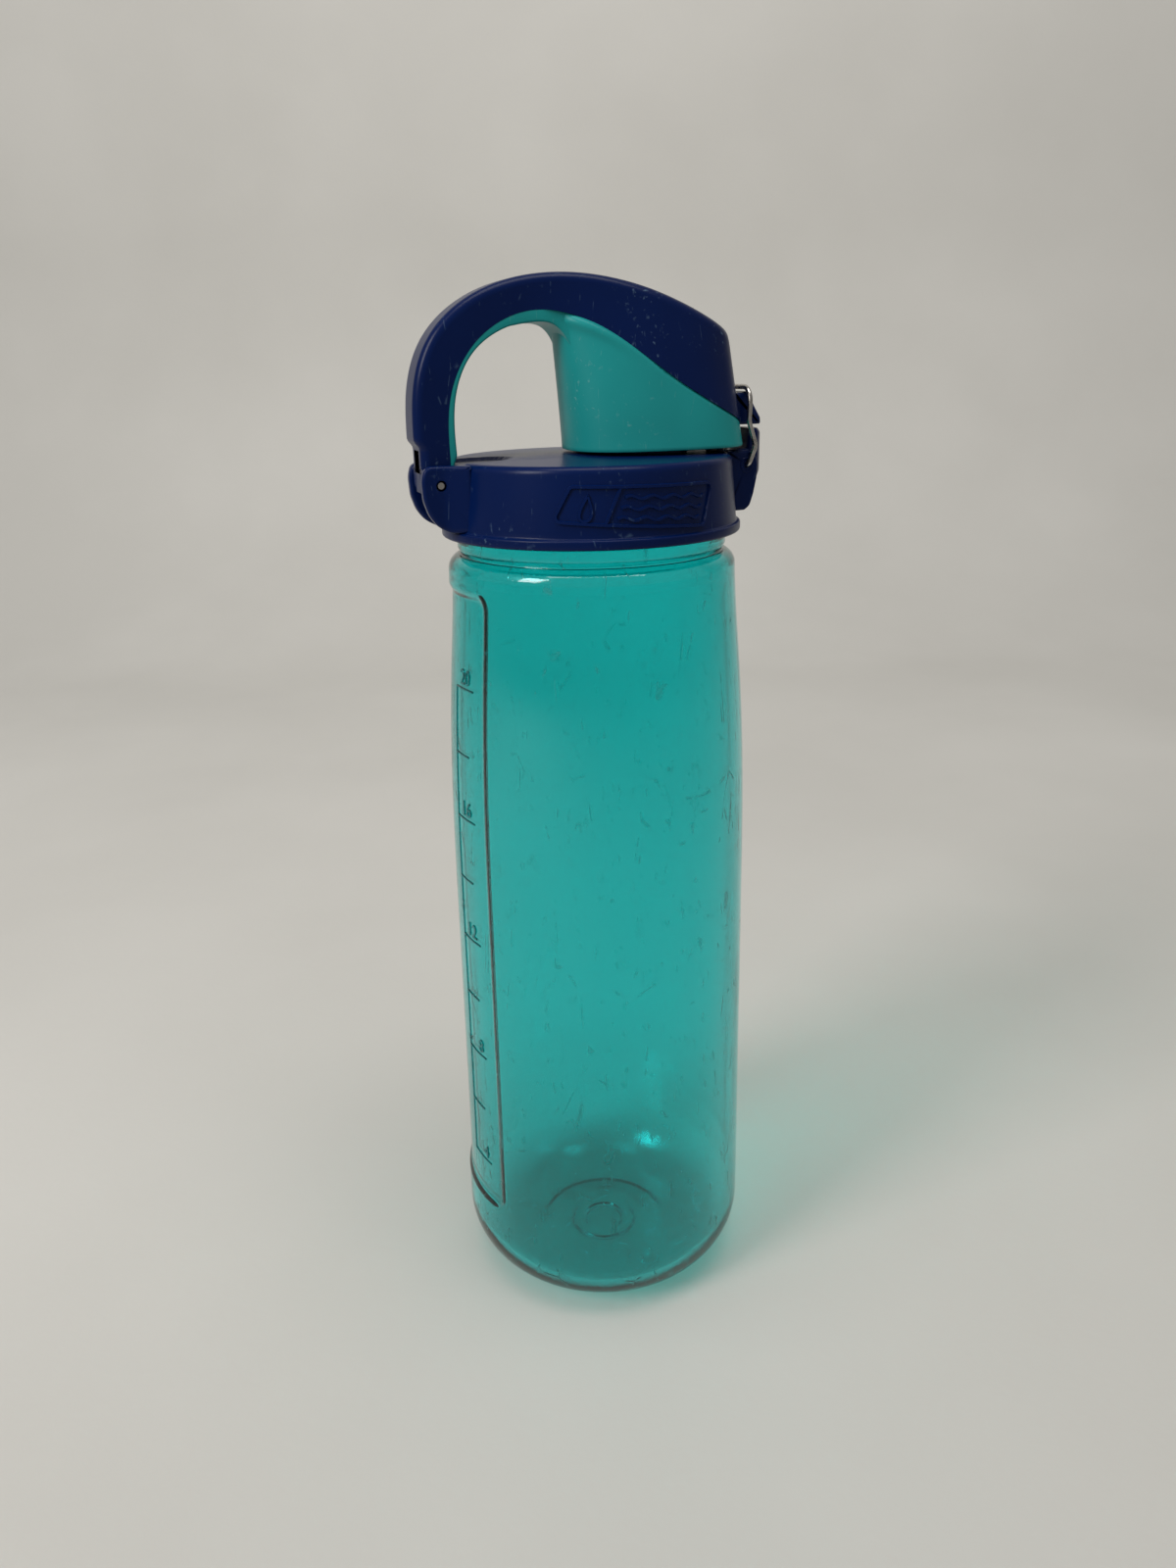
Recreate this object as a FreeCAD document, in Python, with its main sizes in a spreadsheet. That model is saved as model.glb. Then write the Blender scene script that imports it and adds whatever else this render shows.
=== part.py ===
import FreeCAD, Part
import math
import os
import Sketcher

# Flip-top drinking bottle. Millimetres, +Z up, origin at the middle of the base.
# The hood's hinge is on the -X side and its latch on the +X side.

V = FreeCAD.Vector
os.makedirs("parts", exist_ok=True)
doc = FreeCAD.newDocument("drinking_bottle")

# ---------------------------------------------------------------- driving dimensions
DIMENSIONS = {
    # bottle
    "body_r": 36.85, "waist_r": 36.4, "chest_r": 36.0, "bust_r": 34.45, "shoulder_r": 33.0,
    "waist_z": 108, "chest_z": 137, "bust_z": 166, "shoulder_z": 190.4, "base_round": 15.7,
    "wall": 1.8, "floor": 2.6, "push_up": 0.8, "collar_r": 30.7, "collar_z": 194.4,
    "neck_r": 28.2, "neck_z": 208.0, "neck_bore_r": 26.2,
    "panel_low": 25, "panel_high": 185, "panel_angle": 56, "panel_depth": 0.6,
    # screw thread
    "lead": 4.5, "thread_low": 198.2, "thread_turns": 1.25, "thread_tall": 1.5, "thread_slack": 2.35,
    # cap
    "flange_r": 34.0, "flange_low": 194.9, "flange_high": 197.1, "skirt_r": 33.1, "rim_r": 31.8,
    "rim_z": 211.4, "crown_z": 212.2, "cap_bore_r": 30.15, "plate_z": 209.6, "rim_round": 2,
    "seal_in": 25.4, "seal_out": 28.4, "seal_low": 208.1, "seal_high": 209.5,
    # hinge
    "hinge_x": -36.0, "hinge_z": 207.1, "pin_r": 0.85, "ear_out": 8.3, "ear_in": 5.65, "foot_r": 3.3,
    "strap_half": 5.4, "coil_r": 1.55, "spring_wire_r": 0.33, "slot_half": 2.3,
    # spout and its seal
    "spout_x": 13.5, "spout_r": 9.5, "spout_bore_r": 7.5, "spout_flange_r": 11.5, "spout_z": 231.0,
    "pad_r": 9.4, "pad_z": 233.3,
    # hood
    "hood_low": 212.6, "hood_x": 15.0, "hood_long": 20.5, "hood_half": 16.0, "hood_wall": 2.2,
    "skin": 1.5, "hood_top_x": 10.0, "hood_top_long": 21.0, "hood_top_half": 9.5, "hood_top_z": 246.0,
    # latch
    "latch_x": 36.0, "latch_z": 200.6, "latch_pin_r": 0.75, "cheek_out": 7.0, "cheek_in": 5.6,
    "button_half": 5.3, "button_z": 216.1, "pad_x": 41.8, "arm_half": 3.4, "tab_half": 5.2,
    "push_spring_z": 206.2, "push_coil_r": 1.3, "push_wire_r": 0.25,
    # wire bail
    "bail_x": 35.8, "bail_z": 208.2, "bail_y": 7.8, "bail_wire_r": 0.58, "bail_bar_z": 225.2,
    "bail_bend": 1.15,
}

sheet = doc.addObject("Spreadsheet::Sheet", "Size")
for row, (name, number) in enumerate(DIMENSIONS.items(), 1):
    sheet.set(f"A{row}", name)
    sheet.set(f"B{row}", str(number))
    sheet.setAlias(f"B{row}", name)
doc.recompute()


def value(expression):
    """The number that an expression on the sheet gives now."""
    return float(sheet.evalExpression(expression))


# ---------------------------------------------------------------- helpers
def new_body(label):
    """An empty body whose label is its node's name."""
    body = doc.addObject("PartDesign::Body", label)
    body.Placement = FreeCAD.Placement()
    return body


def origin(body, role):
    """One of the body's own origin planes or axes."""
    return next(f for f in body.Origin.OriginFeatures if f.Role == role)


def new_sketch(body, name, role):
    """A sketch on an origin plane of its own body."""
    sketch = body.newObject("Sketcher::SketchObject", name)
    sketch.AttachmentSupport = [(origin(body, role), "")]
    sketch.MapMode = "FlatFace"
    return sketch


def outline(body, name, corners, role="XZ_Plane"):
    """A closed outline of straight lines, with both places of each corner bound to the sheet."""
    sketch = new_sketch(body, name, role)
    places = [V(value(across), value(up), 0) for across, up in corners]
    for number, place in enumerate(places):
        sketch.addGeometry(Part.LineSegment(place, places[(number + 1) % len(places)]))
    for number, corner in enumerate(corners):
        after = (number + 1) % len(corners)
        sketch.addConstraint(Sketcher.Constraint("Coincident", number, 2, after, 1))
        for kind, text in zip(("DistanceX", "DistanceY"), corner):
            rule = Sketcher.Constraint(kind, -1, 1, number, 1, value(text))
            sketch.setExpression(f"Constraints[{sketch.addConstraint(rule)}]", text)
    return sketch


def circle(body, name, across, up, radius, role="XZ_Plane"):
    """A circle whose centre and radius are bound to the sheet."""
    sketch = new_sketch(body, name, role)
    centre = V(value(across), value(up), 0)
    sketch.addGeometry(Part.Circle(centre, V(0, 0, 1), value(radius)))
    rules = [("DistanceX", across), ("DistanceY", up)]
    for kind, text in rules:
        rule = Sketcher.Constraint(kind, -1, 1, 0, 3, value(text))
        sketch.setExpression(f"Constraints[{sketch.addConstraint(rule)}]", text)
    size = sketch.addConstraint(Sketcher.Constraint("Radius", 0, value(radius)))
    sketch.setExpression(f"Constraints[{size}]", radius)
    return sketch


def turned(body, kind, sketch, angle="360"):
    """A Revolution or a Groove of the sketch about the body's Z axis."""
    feature = body.newObject(f"PartDesign::{kind}", f"{kind}_{sketch.Name}")
    feature.Profile = sketch
    feature.ReferenceAxis = (origin(body, "Z_Axis"), [""])
    feature.Midplane = angle != "360"
    feature.setExpression("Angle", angle)
    doc.recompute()
    return feature


def padded(body, sketch, length):
    """A pad of the sketch, as far to each side of its plane."""
    feature = body.newObject("PartDesign::Pad", f"Pad_{sketch.Name}")
    feature.Profile = sketch
    feature.SideType = "Symmetric"
    feature.setExpression("Length", length)
    doc.recompute()
    return feature


def pocketed(body, sketch, length=None):
    """A pocket of the sketch to both sides of its plane, right through if no length is given."""
    before = body.Tip.Shape.Volume
    feature = body.newObject("PartDesign::Pocket", f"Pocket_{sketch.Name}")
    feature.Profile = sketch
    feature.SideType = "Symmetric"
    if length is None:
        feature.Type = "ThroughAll"
    else:
        feature.setExpression("Length", length)
    doc.recompute()
    assert feature.Shape.Volume < before - 0.01, f"{feature.Name} cuts nothing"
    return feature


def rounded(body, radius, wanted):
    """A fillet on the edges of the body's tip that the test picks."""
    base = body.Tip
    names = [f"Edge{i}" for i, edge in enumerate(base.Shape.Edges, 1) if wanted(edge)]
    assert names, "no edge to round"
    feature = body.newObject("PartDesign::Fillet", f"Round_{base.Name}")
    feature.Base = (base, names)
    feature.setExpression("Radius", radius)
    doc.recompute()
    return feature


def ring_edge(radius, height):
    """A test for the circular edges of one radius at one height."""
    def wanted(edge):
        ends = [vertex.Point for vertex in edge.Vertexes]
        level = all(abs(p.z - value(height)) < 0.02 for p in ends)
        return level and all(abs(math.hypot(p.x, p.y) - value(radius)) < 0.02 for p in ends)
    return wanted


def thread(body, name, root_r, crest_r, low):
    """A screw thread of trapezium section, fused to the body."""
    wide, narrow = "1.0", "0.45"
    corners = [(root_r, f"{low} - {wide}"), (crest_r, f"{low} - {narrow}"),
               (crest_r, f"{low} + {narrow}"), (root_r, f"{low} + {wide}")]
    helix = body.newObject("PartDesign::AdditiveHelix", f"Helix_{name}")
    helix.Profile = outline(body, name, corners)
    helix.ReferenceAxis = (origin(body, "Z_Axis"), [""])
    helix.Mode = "pitch-turns-angle"
    helix.setExpression("Pitch", "Size.lead")
    helix.setExpression("Turns", "Size.thread_turns")
    doc.recompute()
    return helix


def shape_node(label, shape, place=FreeCAD.Placement()):
    """A free-form sub-part whose shape is made with Part's own functions."""
    node = doc.addObject("Part::Feature", label)
    node.Shape = shape
    node.Placement = place
    return node


def upright(x, z):
    """A point in the middle plane."""
    return V(x, 0, z)


def spline(points):
    """One smooth edge through points of the middle plane."""
    curve = Part.BSplineCurve()
    curve.interpolate([upright(*point) for point in points])
    return curve.toShape()


def slab(edges, half):
    """A closed outline in the middle plane, made solid to both sides of it."""
    face = Part.Face(Part.Wire(edges))
    face.translate(V(0, -half, 0))
    return face.extrude(V(0, 2 * half, 0))


def polygon(points):
    """The straight edges that join points of the middle plane in turn."""
    return [Part.makeLine(upright(*a), upright(*b)) for a, b in zip(points, points[1:])]


def wire_path(points, bend):
    """Straight runs joined by tangent arcs: one radius at every inner point."""
    edges, last = [], points[0]
    for before, corner, after in zip(points, points[1:], points[2:]):
        inward, onward = (before - corner).normalize(), (after - corner).normalize()
        half = inward.getAngle(onward) / 2
        reach = bend / math.tan(half)
        start, end = corner + inward * reach, corner + onward * reach
        middle = (inward + onward).normalize()
        top = corner + middle * (bend / math.sin(half) - bend)
        edges += [Part.makeLine(last, start), Part.Arc(start, top, end).toShape()]
        last = end
    return Part.Wire(edges + [Part.makeLine(last, points[-1])])


def round_wire(path, radius):
    """A wire of round section along a path."""
    start = path.Edges[0]
    aim = start.tangentAt(start.FirstParameter)
    section = Part.Wire(Part.makeCircle(radius, path.Vertexes[0].Point, aim))
    return path.makePipeShell([section], True, True)


def coil(radius, wire_r, length, turns):
    """A spring's turns about +Z, starting at the origin's height."""
    path = Part.makeHelix(length / turns, length, radius)
    section = Part.Wire(Part.makeCircle(wire_r, V(radius, 0, 0), V(0, 1, 0)))
    return Part.Wire(path).makePipeShell([section], True, True)


# ---------------------------------------------------------------- bottle
def bottle_side(inset):
    """The side's corners from low to high, inset by a depth."""
    names = [("body", "Size.panel_low"), ("waist", "Size.waist_z"), ("chest", "Size.chest_z"),
             ("bust", "Size.bust_z")]
    return [(f"Size.{name}_r - {inset}", height) for name, height in names]


def make_bottle():
    """Blow-moulded bottle: an outside with two recessed panels and a thread, less its inside."""
    body = new_body("bottle_outside")
    foot = "Size.body_r - Size.base_round - 3"
    outer = [("0", "Size.push_up"), (f"{foot} - 4", "Size.push_up"), (foot, "0"), ("Size.body_r", "0")]
    outer += bottle_side("0")
    outer += [("Size.shoulder_r + 0.3", "182"), ("Size.shoulder_r", "Size.shoulder_z"),
              ("Size.collar_r", "Size.shoulder_z + 0.5"), ("Size.collar_r", "Size.collar_z"),
              ("Size.neck_r", "Size.collar_z + 0.3"), ("Size.neck_r", "Size.neck_z"),
              ("0", "Size.neck_z")]
    turned(body, "Revolution", outline(body, "Outside", outer))
    rounded(body, "Size.base_round", ring_edge("Size.body_r", "0"))
    rounded(body, "2", ring_edge("Size.shoulder_r", "Size.shoulder_z"))

    panel = bottle_side("Size.panel_depth")
    panel += [("Size.shoulder_r + 0.2 - Size.panel_depth", "Size.panel_high"),
              ("Size.body_r + 3", "Size.panel_high"), ("Size.body_r + 3", "Size.panel_low")]
    groove = turned(body, "Groove", outline(body, "Panel", panel), "Size.panel_angle")
    pair = body.newObject("PartDesign::PolarPattern", "PanelPair")
    pair.Originals = [groove]
    pair.Axis = (origin(body, "Z_Axis"), [""])
    pair.Angle = 360
    pair.Occurrences = 2
    body.Tip = pair
    doc.recompute()

    thread(body, "NeckThread", "Size.neck_r - 0.3", "Size.neck_r + Size.thread_tall", "Size.thread_low")
    hollow = new_body("bottle_inside")
    inner = [("0", "Size.floor"), ("Size.body_r - Size.wall", "Size.floor")]
    inner += bottle_side("Size.wall")
    inner += [("Size.shoulder_r - 1.5", "182"), ("Size.shoulder_r - Size.wall", "Size.shoulder_z - 1.5"),
              ("Size.neck_bore_r", "Size.shoulder_z + 2"), ("Size.neck_bore_r", "Size.neck_z + 1"),
              ("0", "Size.neck_z + 1")]
    turned(hollow, "Revolution", outline(hollow, "Inside", inner))
    rounded(hollow, "Size.base_round - Size.wall", ring_edge("Size.body_r - Size.wall", "Size.floor"))
    bottle = doc.addObject("Part::Cut", "bottle_body")
    bottle.Base, bottle.Tool = body, hollow
    doc.recompute()
    return bottle


# ---------------------------------------------------------------- cap
def make_cap_seal():
    """Flat silicone ring between the cap's plate and the bottle's rim."""
    body = new_body("cap_seal")
    ring = [("Size.seal_in", "Size.seal_low"), ("Size.seal_out", "Size.seal_low"),
            ("Size.seal_out", "Size.seal_high"), ("Size.seal_in", "Size.seal_high")]
    turned(body, "Revolution", outline(body, "Ring", ring))
    return body


def make_cap():
    """Screw cap: skirt, flange, plate, hinge ears and latch cheeks in one moulding."""
    body = new_body("cap_shell")
    wall = [("0", "Size.plate_z"), ("Size.cap_bore_r", "Size.plate_z"),
            ("Size.cap_bore_r", "Size.flange_low + 1"), ("Size.cap_bore_r + 1", "Size.flange_low"),
            ("Size.flange_r", "Size.flange_low"), ("Size.flange_r", "Size.flange_high"),
            ("Size.skirt_r", "Size.flange_high"), ("Size.rim_r", "Size.rim_z"), ("0", "Size.crown_z")]
    turned(body, "Revolution", outline(body, "Wall", wall))
    rounded(body, "Size.rim_round", ring_edge("Size.rim_r", "Size.rim_z"))
    ears = [("-31", "197.1"), ("-34.4", "197.1"), ("-37.1", "198.5"), ("-38.9", "201.0"),
            ("-39.9", "204.0"), ("-40.2", "208.2"), ("-39.4", "210.6"), ("-38.4", "211.1"),
            ("-31", "211.1")]
    padded(body, outline(body, "Ears", ears), "2 * Size.ear_out")
    gap = [("-33.2", "Size.flange_high"), ("-42", "Size.flange_high"), ("-42", "213"),
           ("-31.4", "213"), ("-32.3", "Size.hinge_z")]
    pocketed(body, outline(body, "EarGap", gap), "2 * Size.ear_in")
    pocketed(body, circle(body, "EarBore", "Size.hinge_x", "Size.hinge_z", "Size.pin_r"))
    cheeks = [("31.5", "197.9"), ("35.6", "198.0"), ("36.9", "199.0"), ("37.8", "201.8"),
              ("38.5", "205.2"), ("38.7", "208.2"), ("38.1", "210.3"), ("36.4", "211.3"),
              ("31.5", "211.3")]
    padded(body, outline(body, "Cheeks", cheeks), "2 * Size.cheek_out")
    between = [("33.1", "197.2"), ("43", "197.2"), ("43", "213"), ("32.2", "213"), ("32.4", "206.8")]
    pocketed(body, outline(body, "CheekGap", between), "2 * Size.cheek_in")
    notch = [("28.8", "206.8"), ("35", "206.8"), ("35", "214"), ("28.8", "214")]
    pocketed(body, outline(body, "HookNotch", notch), "2 * Size.arm_half + 0.7")
    pocketed(body, circle(body, "PinBore", "Size.latch_x", "Size.latch_z", "Size.latch_pin_r"), "13")
    pocketed(body, circle(body, "BailBore", "Size.bail_x", "Size.bail_z", "Size.bail_wire_r + 0.06"))
    pocketed(body, circle(body, "SpoutBore", "Size.spout_x", "0", "Size.spout_r", "XY_Plane"))
    channel = [("-33", "211.5"), ("-19", "211.5"), ("-19", "214"), ("-33", "214")]
    pocketed(body, outline(body, "Channel", channel), "13.6")
    thread(body, "CapThread", "Size.cap_bore_r + 0.4", "Size.cap_bore_r - Size.thread_tall",
           "Size.thread_low + Size.thread_slack")
    return body


def make_spout():
    """Drinking spout: a tube with a flange under the cap's plate."""
    body = new_body("spout")
    body.setExpression(".Placement.Base.x", "Size.spout_x")
    wall = [("Size.spout_bore_r", "Size.plate_z - 1.4"), ("Size.spout_flange_r", "Size.plate_z - 1.4"),
            ("Size.spout_flange_r", "Size.plate_z"), ("Size.spout_r", "Size.plate_z"),
            ("Size.spout_r", "Size.spout_z - 0.8"), ("Size.spout_r - 0.8", "Size.spout_z"),
            ("Size.spout_bore_r", "Size.spout_z")]
    turned(body, "Revolution", outline(body, "Tube", wall))
    return body


def make_spout_seal():
    """Silicone pad in the hood: a disc with a low plug that centres in the spout."""
    body = new_body("spout_seal")
    body.setExpression(".Placement.Base.x", "Size.spout_x")
    pad = [("0", "Size.spout_z - 0.9"), ("Size.spout_bore_r - 2", "Size.spout_z - 0.9"),
           ("Size.spout_bore_r - 1.2", "Size.spout_z + 0.1"), ("Size.pad_r", "Size.spout_z + 0.1"),
           ("Size.pad_r", "Size.pad_z"), ("0", "Size.pad_z")]
    turned(body, "Revolution", outline(body, "Pad", pad))
    return body


# ---------------------------------------------------------------- hood and carry loop
CROWN = [(-40.5, 216.5), (-39.9, 226.5), (-36.3, 236.3), (-26.8, 244.7), (-14.6, 248.6),
         (-2.8, 248.9), (8.1, 246.8), (20.0, 242.4), (31.6, 236.9)]
LINING = [(-31.5, 212.9), (-31.2, 224.3), (-27.0, 233.4), (-19.0, 238.5), (-8.0, 240.2)]
PARTING = [(-33.1, 212.2), (-32.5, 224.0), (-26.9, 235.0), (-14.0, 241.6), (-0.8, 238.8),
           (13.7, 228.8), (26.3, 221.3), (36.5, 216.6)]


def hood_ring(inset, height):
    """The hood's plan at a height: a rounded oblong, smaller and further back as it rises."""
    low, high = value("Size.hood_low"), value("Size.hood_top_z")
    rise = (height - low) / (high - low)

    def between(start, end):
        return value(f"Size.{start}") * (1 - rise) + value(f"Size.{end}") * rise

    middle = between("hood_x", "hood_top_x")
    long, half = between("hood_long", "hood_top_long") - inset, between("hood_half", "hood_top_half") - inset
    squareness = 2 / 2.7
    points = []
    for step in range(32):
        angle = math.tau * step / 32
        c, s = math.cos(angle), math.sin(angle)
        points.append(V(middle + long * math.copysign(abs(c) ** squareness, c),
                        half * math.copysign(abs(s) ** squareness, s), height))
    curve = Part.BSplineCurve()
    curve.interpolate(points, PeriodicFlag=True)
    return Part.Wire(curve.toShape())


def under_crown(depth):
    """All that lies under the crown line, lowered by a depth, down to the loop's foot."""
    crown = [(x, z - depth) for x, z in CROWN]
    foot_x = value("Size.hinge_x - Size.foot_r")
    rest = [crown[-1], (40, 231 - depth), (40, 190), (foot_x, 190), (foot_x, 214.6), crown[0]]
    return slab([spline(crown)] + polygon(rest), value("Size.hood_half") + 5)


def hood_block(inset, low):
    """The hood's sides, inset by a wall, taller than the crown line."""
    rings = [hood_ring(inset, low), hood_ring(inset, value("Size.hood_top_z") + 6)]
    return Part.makeLoft(rings, True, True)


def strap_block():
    """The carry loop's band from its foot round the pin to inside the hood."""
    x, z, r = (value(f"Size.{name}") for name in ("hinge_x", "hinge_z", "foot_r"))
    foot = Part.Arc(upright(x + r, z), upright(x, z - r), upright(x - r, z)).toShape()
    outer = polygon([(x - r, z), (x - r, 214), (-45, 214), (-45, 260), (8, 260), (6, 241), LINING[-1]])
    inner = [spline(LINING[::-1])] + polygon([LINING[0], (-32.4, 210.6), (x + r, z)])
    return slab([foot] + outer + inner, value("Size.strap_half"))


def hinge_cuts():
    """The pin's bore in the foot, and the slot that the spring works in."""
    x, z = value("Size.hinge_x"), value("Size.hinge_z")
    bore = Part.makeCylinder(value("Size.pin_r") + 0.07, 20, V(x, -10, z), V(0, 1, 0))
    half = value("Size.slot_half")
    well = Part.makeCylinder(2.7, 2 * half, V(x, -half, z), V(0, 1, 0))
    sides = [(x - 0.9, z), (x + 0.2, z - 5), (x + 9, z - 5), (x + 9, z + 6), (x - 0.9, z + 6), (x - 0.9, z)]
    return bore.fuse([well, slab(polygon(sides), half)])


def make_hood():
    """The two mouldings of the hood: the inner shell and lining, and the outer skin and tab."""
    low, skin, wall = (value(f"Size.{name}") for name in ("hood_low", "skin", "hood_wall"))
    core = hood_block(skin, low - 1).common(under_crown(skin))
    outside = hood_block(0, low).fuse(strap_block()).common(under_crown(0))
    cavity = hood_block(wall, low - 1).common(under_crown(wall + 1.8))
    above = [spline(PARTING)]
    above += polygon([PARTING[-1], (50, 216.6), (50, 260), (-50, 260), (-50, 200), (-33.1, 200), PARTING[0]])
    grip = outside.cut(core).common(slab(above, 25))
    shell = outside.cut([grip, cavity, hinge_cuts()])

    tab = slab(polygon([(32.5, 216.9), (41.4, 216.9), (41.3, 218.4), (39.6, 221.0), (37.7, 224.0),
                        (36.6, 224.3), (35.6, 223.9), (32.5, 223.9), (32.5, 216.9)]), value("Size.tab_half"))
    grip = grip.cut(hinge_cuts()).fuse(tab.cut(core))

    spout_x, pad_z = value("Size.spout_x"), value("Size.pad_z")
    socket = Part.makeCylinder(8, 12, V(spout_x, 0, pad_z)).common(core).cut(grip)
    ledge = Part.makeBox(2.5, 6.4, 1.4, V(31.9, -3.2, 212.8))
    shell = shell.fuse([socket, ledge.common(core)]).cut(grip)
    return shape_node("cover_shell", shell.removeSplitter()), shape_node("cover_grip", grip.removeSplitter())


def make_hinge_spring():
    """Torsion spring on the pin: four turns, one leg on the cap's wall and one behind the loop."""
    wire, radius = value("Size.spring_wire_r"), value("Size.coil_r")
    turns = coil(radius, wire, 3.0, 4)
    lower = Part.makeCylinder(wire, 5.5, V(radius, 0, 0), V(0, -1, 0))
    upper = Part.makeCylinder(wire, 4.9, V(radius, 0, 3.0), V(0, 1, 0))
    place = FreeCAD.Placement(V(value("Size.hinge_x"), 1.5, value("Size.hinge_z")),
                              FreeCAD.Rotation(V(1, 0, 0), 90))
    return shape_node("hinge_spring", turns.fuse([lower, upper]), place)


def pin_along_y(label, radius, length, x, z):
    """A plain pin across the middle plane."""
    pin = doc.addObject("Part::Cylinder", label)
    pin.setExpression("Radius", radius)
    pin.setExpression("Height", length)
    pin.Placement = FreeCAD.Placement(V(value(x), value(length) / 2, value(z)),
                                      FreeCAD.Rotation(V(1, 0, 0), 90))
    return pin


# ---------------------------------------------------------------- latch
def make_button():
    """Push button: a crowned pad, a bore to rock on, and an arm with a hook inside the hood."""
    body = new_body("latch_button")
    pad = [("34.0", "198.3"), ("36.6", "198.3"), ("38.2", "201.6"), ("40.2", "203.4"),
           ("Size.pad_x", "206.5"), ("Size.pad_x", "Size.button_z - 1"),
           ("Size.pad_x - 0.8", "Size.button_z"), ("37.4", "Size.button_z"), ("37.2", "211.6"),
           ("34.0", "211.4"), ("33.6", "207.4"), ("34.0", "203")]
    padded(body, outline(body, "Pad", pad), "2 * Size.button_half")
    rounded(body, "1.5", lambda edge: edge.BoundBox.XMin > value("Size.pad_x") - 0.01
            and edge.BoundBox.YLength < 0.01)
    arm = [("35", "207.9"), ("35", "211.4"), ("31.5", "211.4"), ("31.5", "214.5"), ("32.5", "214.6"),
           ("31.9", "216.2"), ("30.3", "216.2"), ("29.9", "207.9")]
    padded(body, outline(body, "Arm", arm), "2 * Size.arm_half")
    bore = circle(body, "Bore", "Size.latch_x", "Size.latch_z", "Size.latch_pin_r + 0.06")
    pocketed(body, bore)
    well = [("33", "Size.push_spring_z - 1.9"), ("37.1", "Size.push_spring_z - 1.9"),
            ("37.1", "Size.push_spring_z + 1.7"), ("33", "Size.push_spring_z + 1.7")]
    pocketed(body, outline(body, "SpringWell", well), "3.8")
    return body


def make_latch_spring():
    """Compression spring between the cap's wall and the button."""
    spring = coil(value("Size.push_coil_r"), value("Size.push_wire_r"), 3.8, 4)
    place = FreeCAD.Placement(V(32.85, 0, value("Size.push_spring_z")),
                              FreeCAD.Rotation(V(0, 1, 0), 90))
    return shape_node("latch_spring", spring, place)


def make_bail():
    """Bent wire: two ends in the cheeks, two waved legs and the bar over the tab."""
    x, z, y, bar = (value(f"Size.bail_{name}") for name in ("x", "z", "y", "bar_z"))
    legs = [(x, z), (x + 1.7, z + 4.2), (x - 0.1, z + 9.6), (x + 0.2, bar)]
    inner = value("Size.cheek_in") + 0.1
    near = [V(x, -inner, z)] + [V(a, -y, b) for a, b in legs]
    far = [V(p.x, -p.y, p.z) for p in reversed(near)]
    path = wire_path(near + far, value("Size.bail_bend"))
    return shape_node("wire_bail", round_wire(path, value("Size.bail_wire_r")))


# ---------------------------------------------------------------- build, check and write
parts = [make_bottle(), make_cap_seal(), make_cap(), make_spout(), make_spout_seal(), *make_hood(),
         make_hinge_spring(), make_button(), make_latch_spring(), make_bail(),
         pin_along_y("hinge_pin", "Size.pin_r", "15.8", "Size.hinge_x", "Size.hinge_z"),
         pin_along_y("latch_pin", "Size.latch_pin_r", "12.8", "Size.latch_x", "Size.latch_z")]
doc.recompute()

for item in doc.Objects:
    failed = {"Invalid", "Error"} & set(item.State)
    assert not failed, f"{item.Label}: {failed}"

for node in parts:
    shape = node.Shape
    assert not shape.isNull() and shape.isValid() and shape.Volume > 0, node.Label
    box = shape.BoundBox
    print(f"{node.Label:13s} {len(shape.Solids)} solid {shape.Volume:9.1f} mm3"
          f"  x {box.XMin:6.1f} {box.XMax:6.1f}  y {box.YMin:6.1f} {box.YMax:6.1f}"
          f"  z {box.ZMin:6.1f} {box.ZMax:6.1f}")
    shape.exportStep(f"parts/{node.Label}.step")
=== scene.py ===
"""The drinking bottle's looks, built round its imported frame. Metres, +Z up."""
import math

import bmesh
import bpy
import numpy as np
from mathutils import Matrix, Vector


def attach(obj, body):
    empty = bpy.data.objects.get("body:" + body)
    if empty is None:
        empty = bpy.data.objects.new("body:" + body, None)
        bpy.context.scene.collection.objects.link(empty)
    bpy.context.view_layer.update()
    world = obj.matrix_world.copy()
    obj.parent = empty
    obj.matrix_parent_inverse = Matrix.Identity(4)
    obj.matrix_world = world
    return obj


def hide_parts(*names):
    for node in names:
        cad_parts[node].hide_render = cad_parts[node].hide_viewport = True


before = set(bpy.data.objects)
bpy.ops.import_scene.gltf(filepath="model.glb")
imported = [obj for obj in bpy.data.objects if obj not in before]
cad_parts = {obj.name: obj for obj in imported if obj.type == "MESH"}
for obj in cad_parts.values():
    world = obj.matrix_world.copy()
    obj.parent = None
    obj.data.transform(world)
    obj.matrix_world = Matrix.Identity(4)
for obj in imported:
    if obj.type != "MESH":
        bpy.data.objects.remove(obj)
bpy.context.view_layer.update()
MM = 0.001
SHARP_ANGLE, WELD = 38, 2e-6


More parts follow.
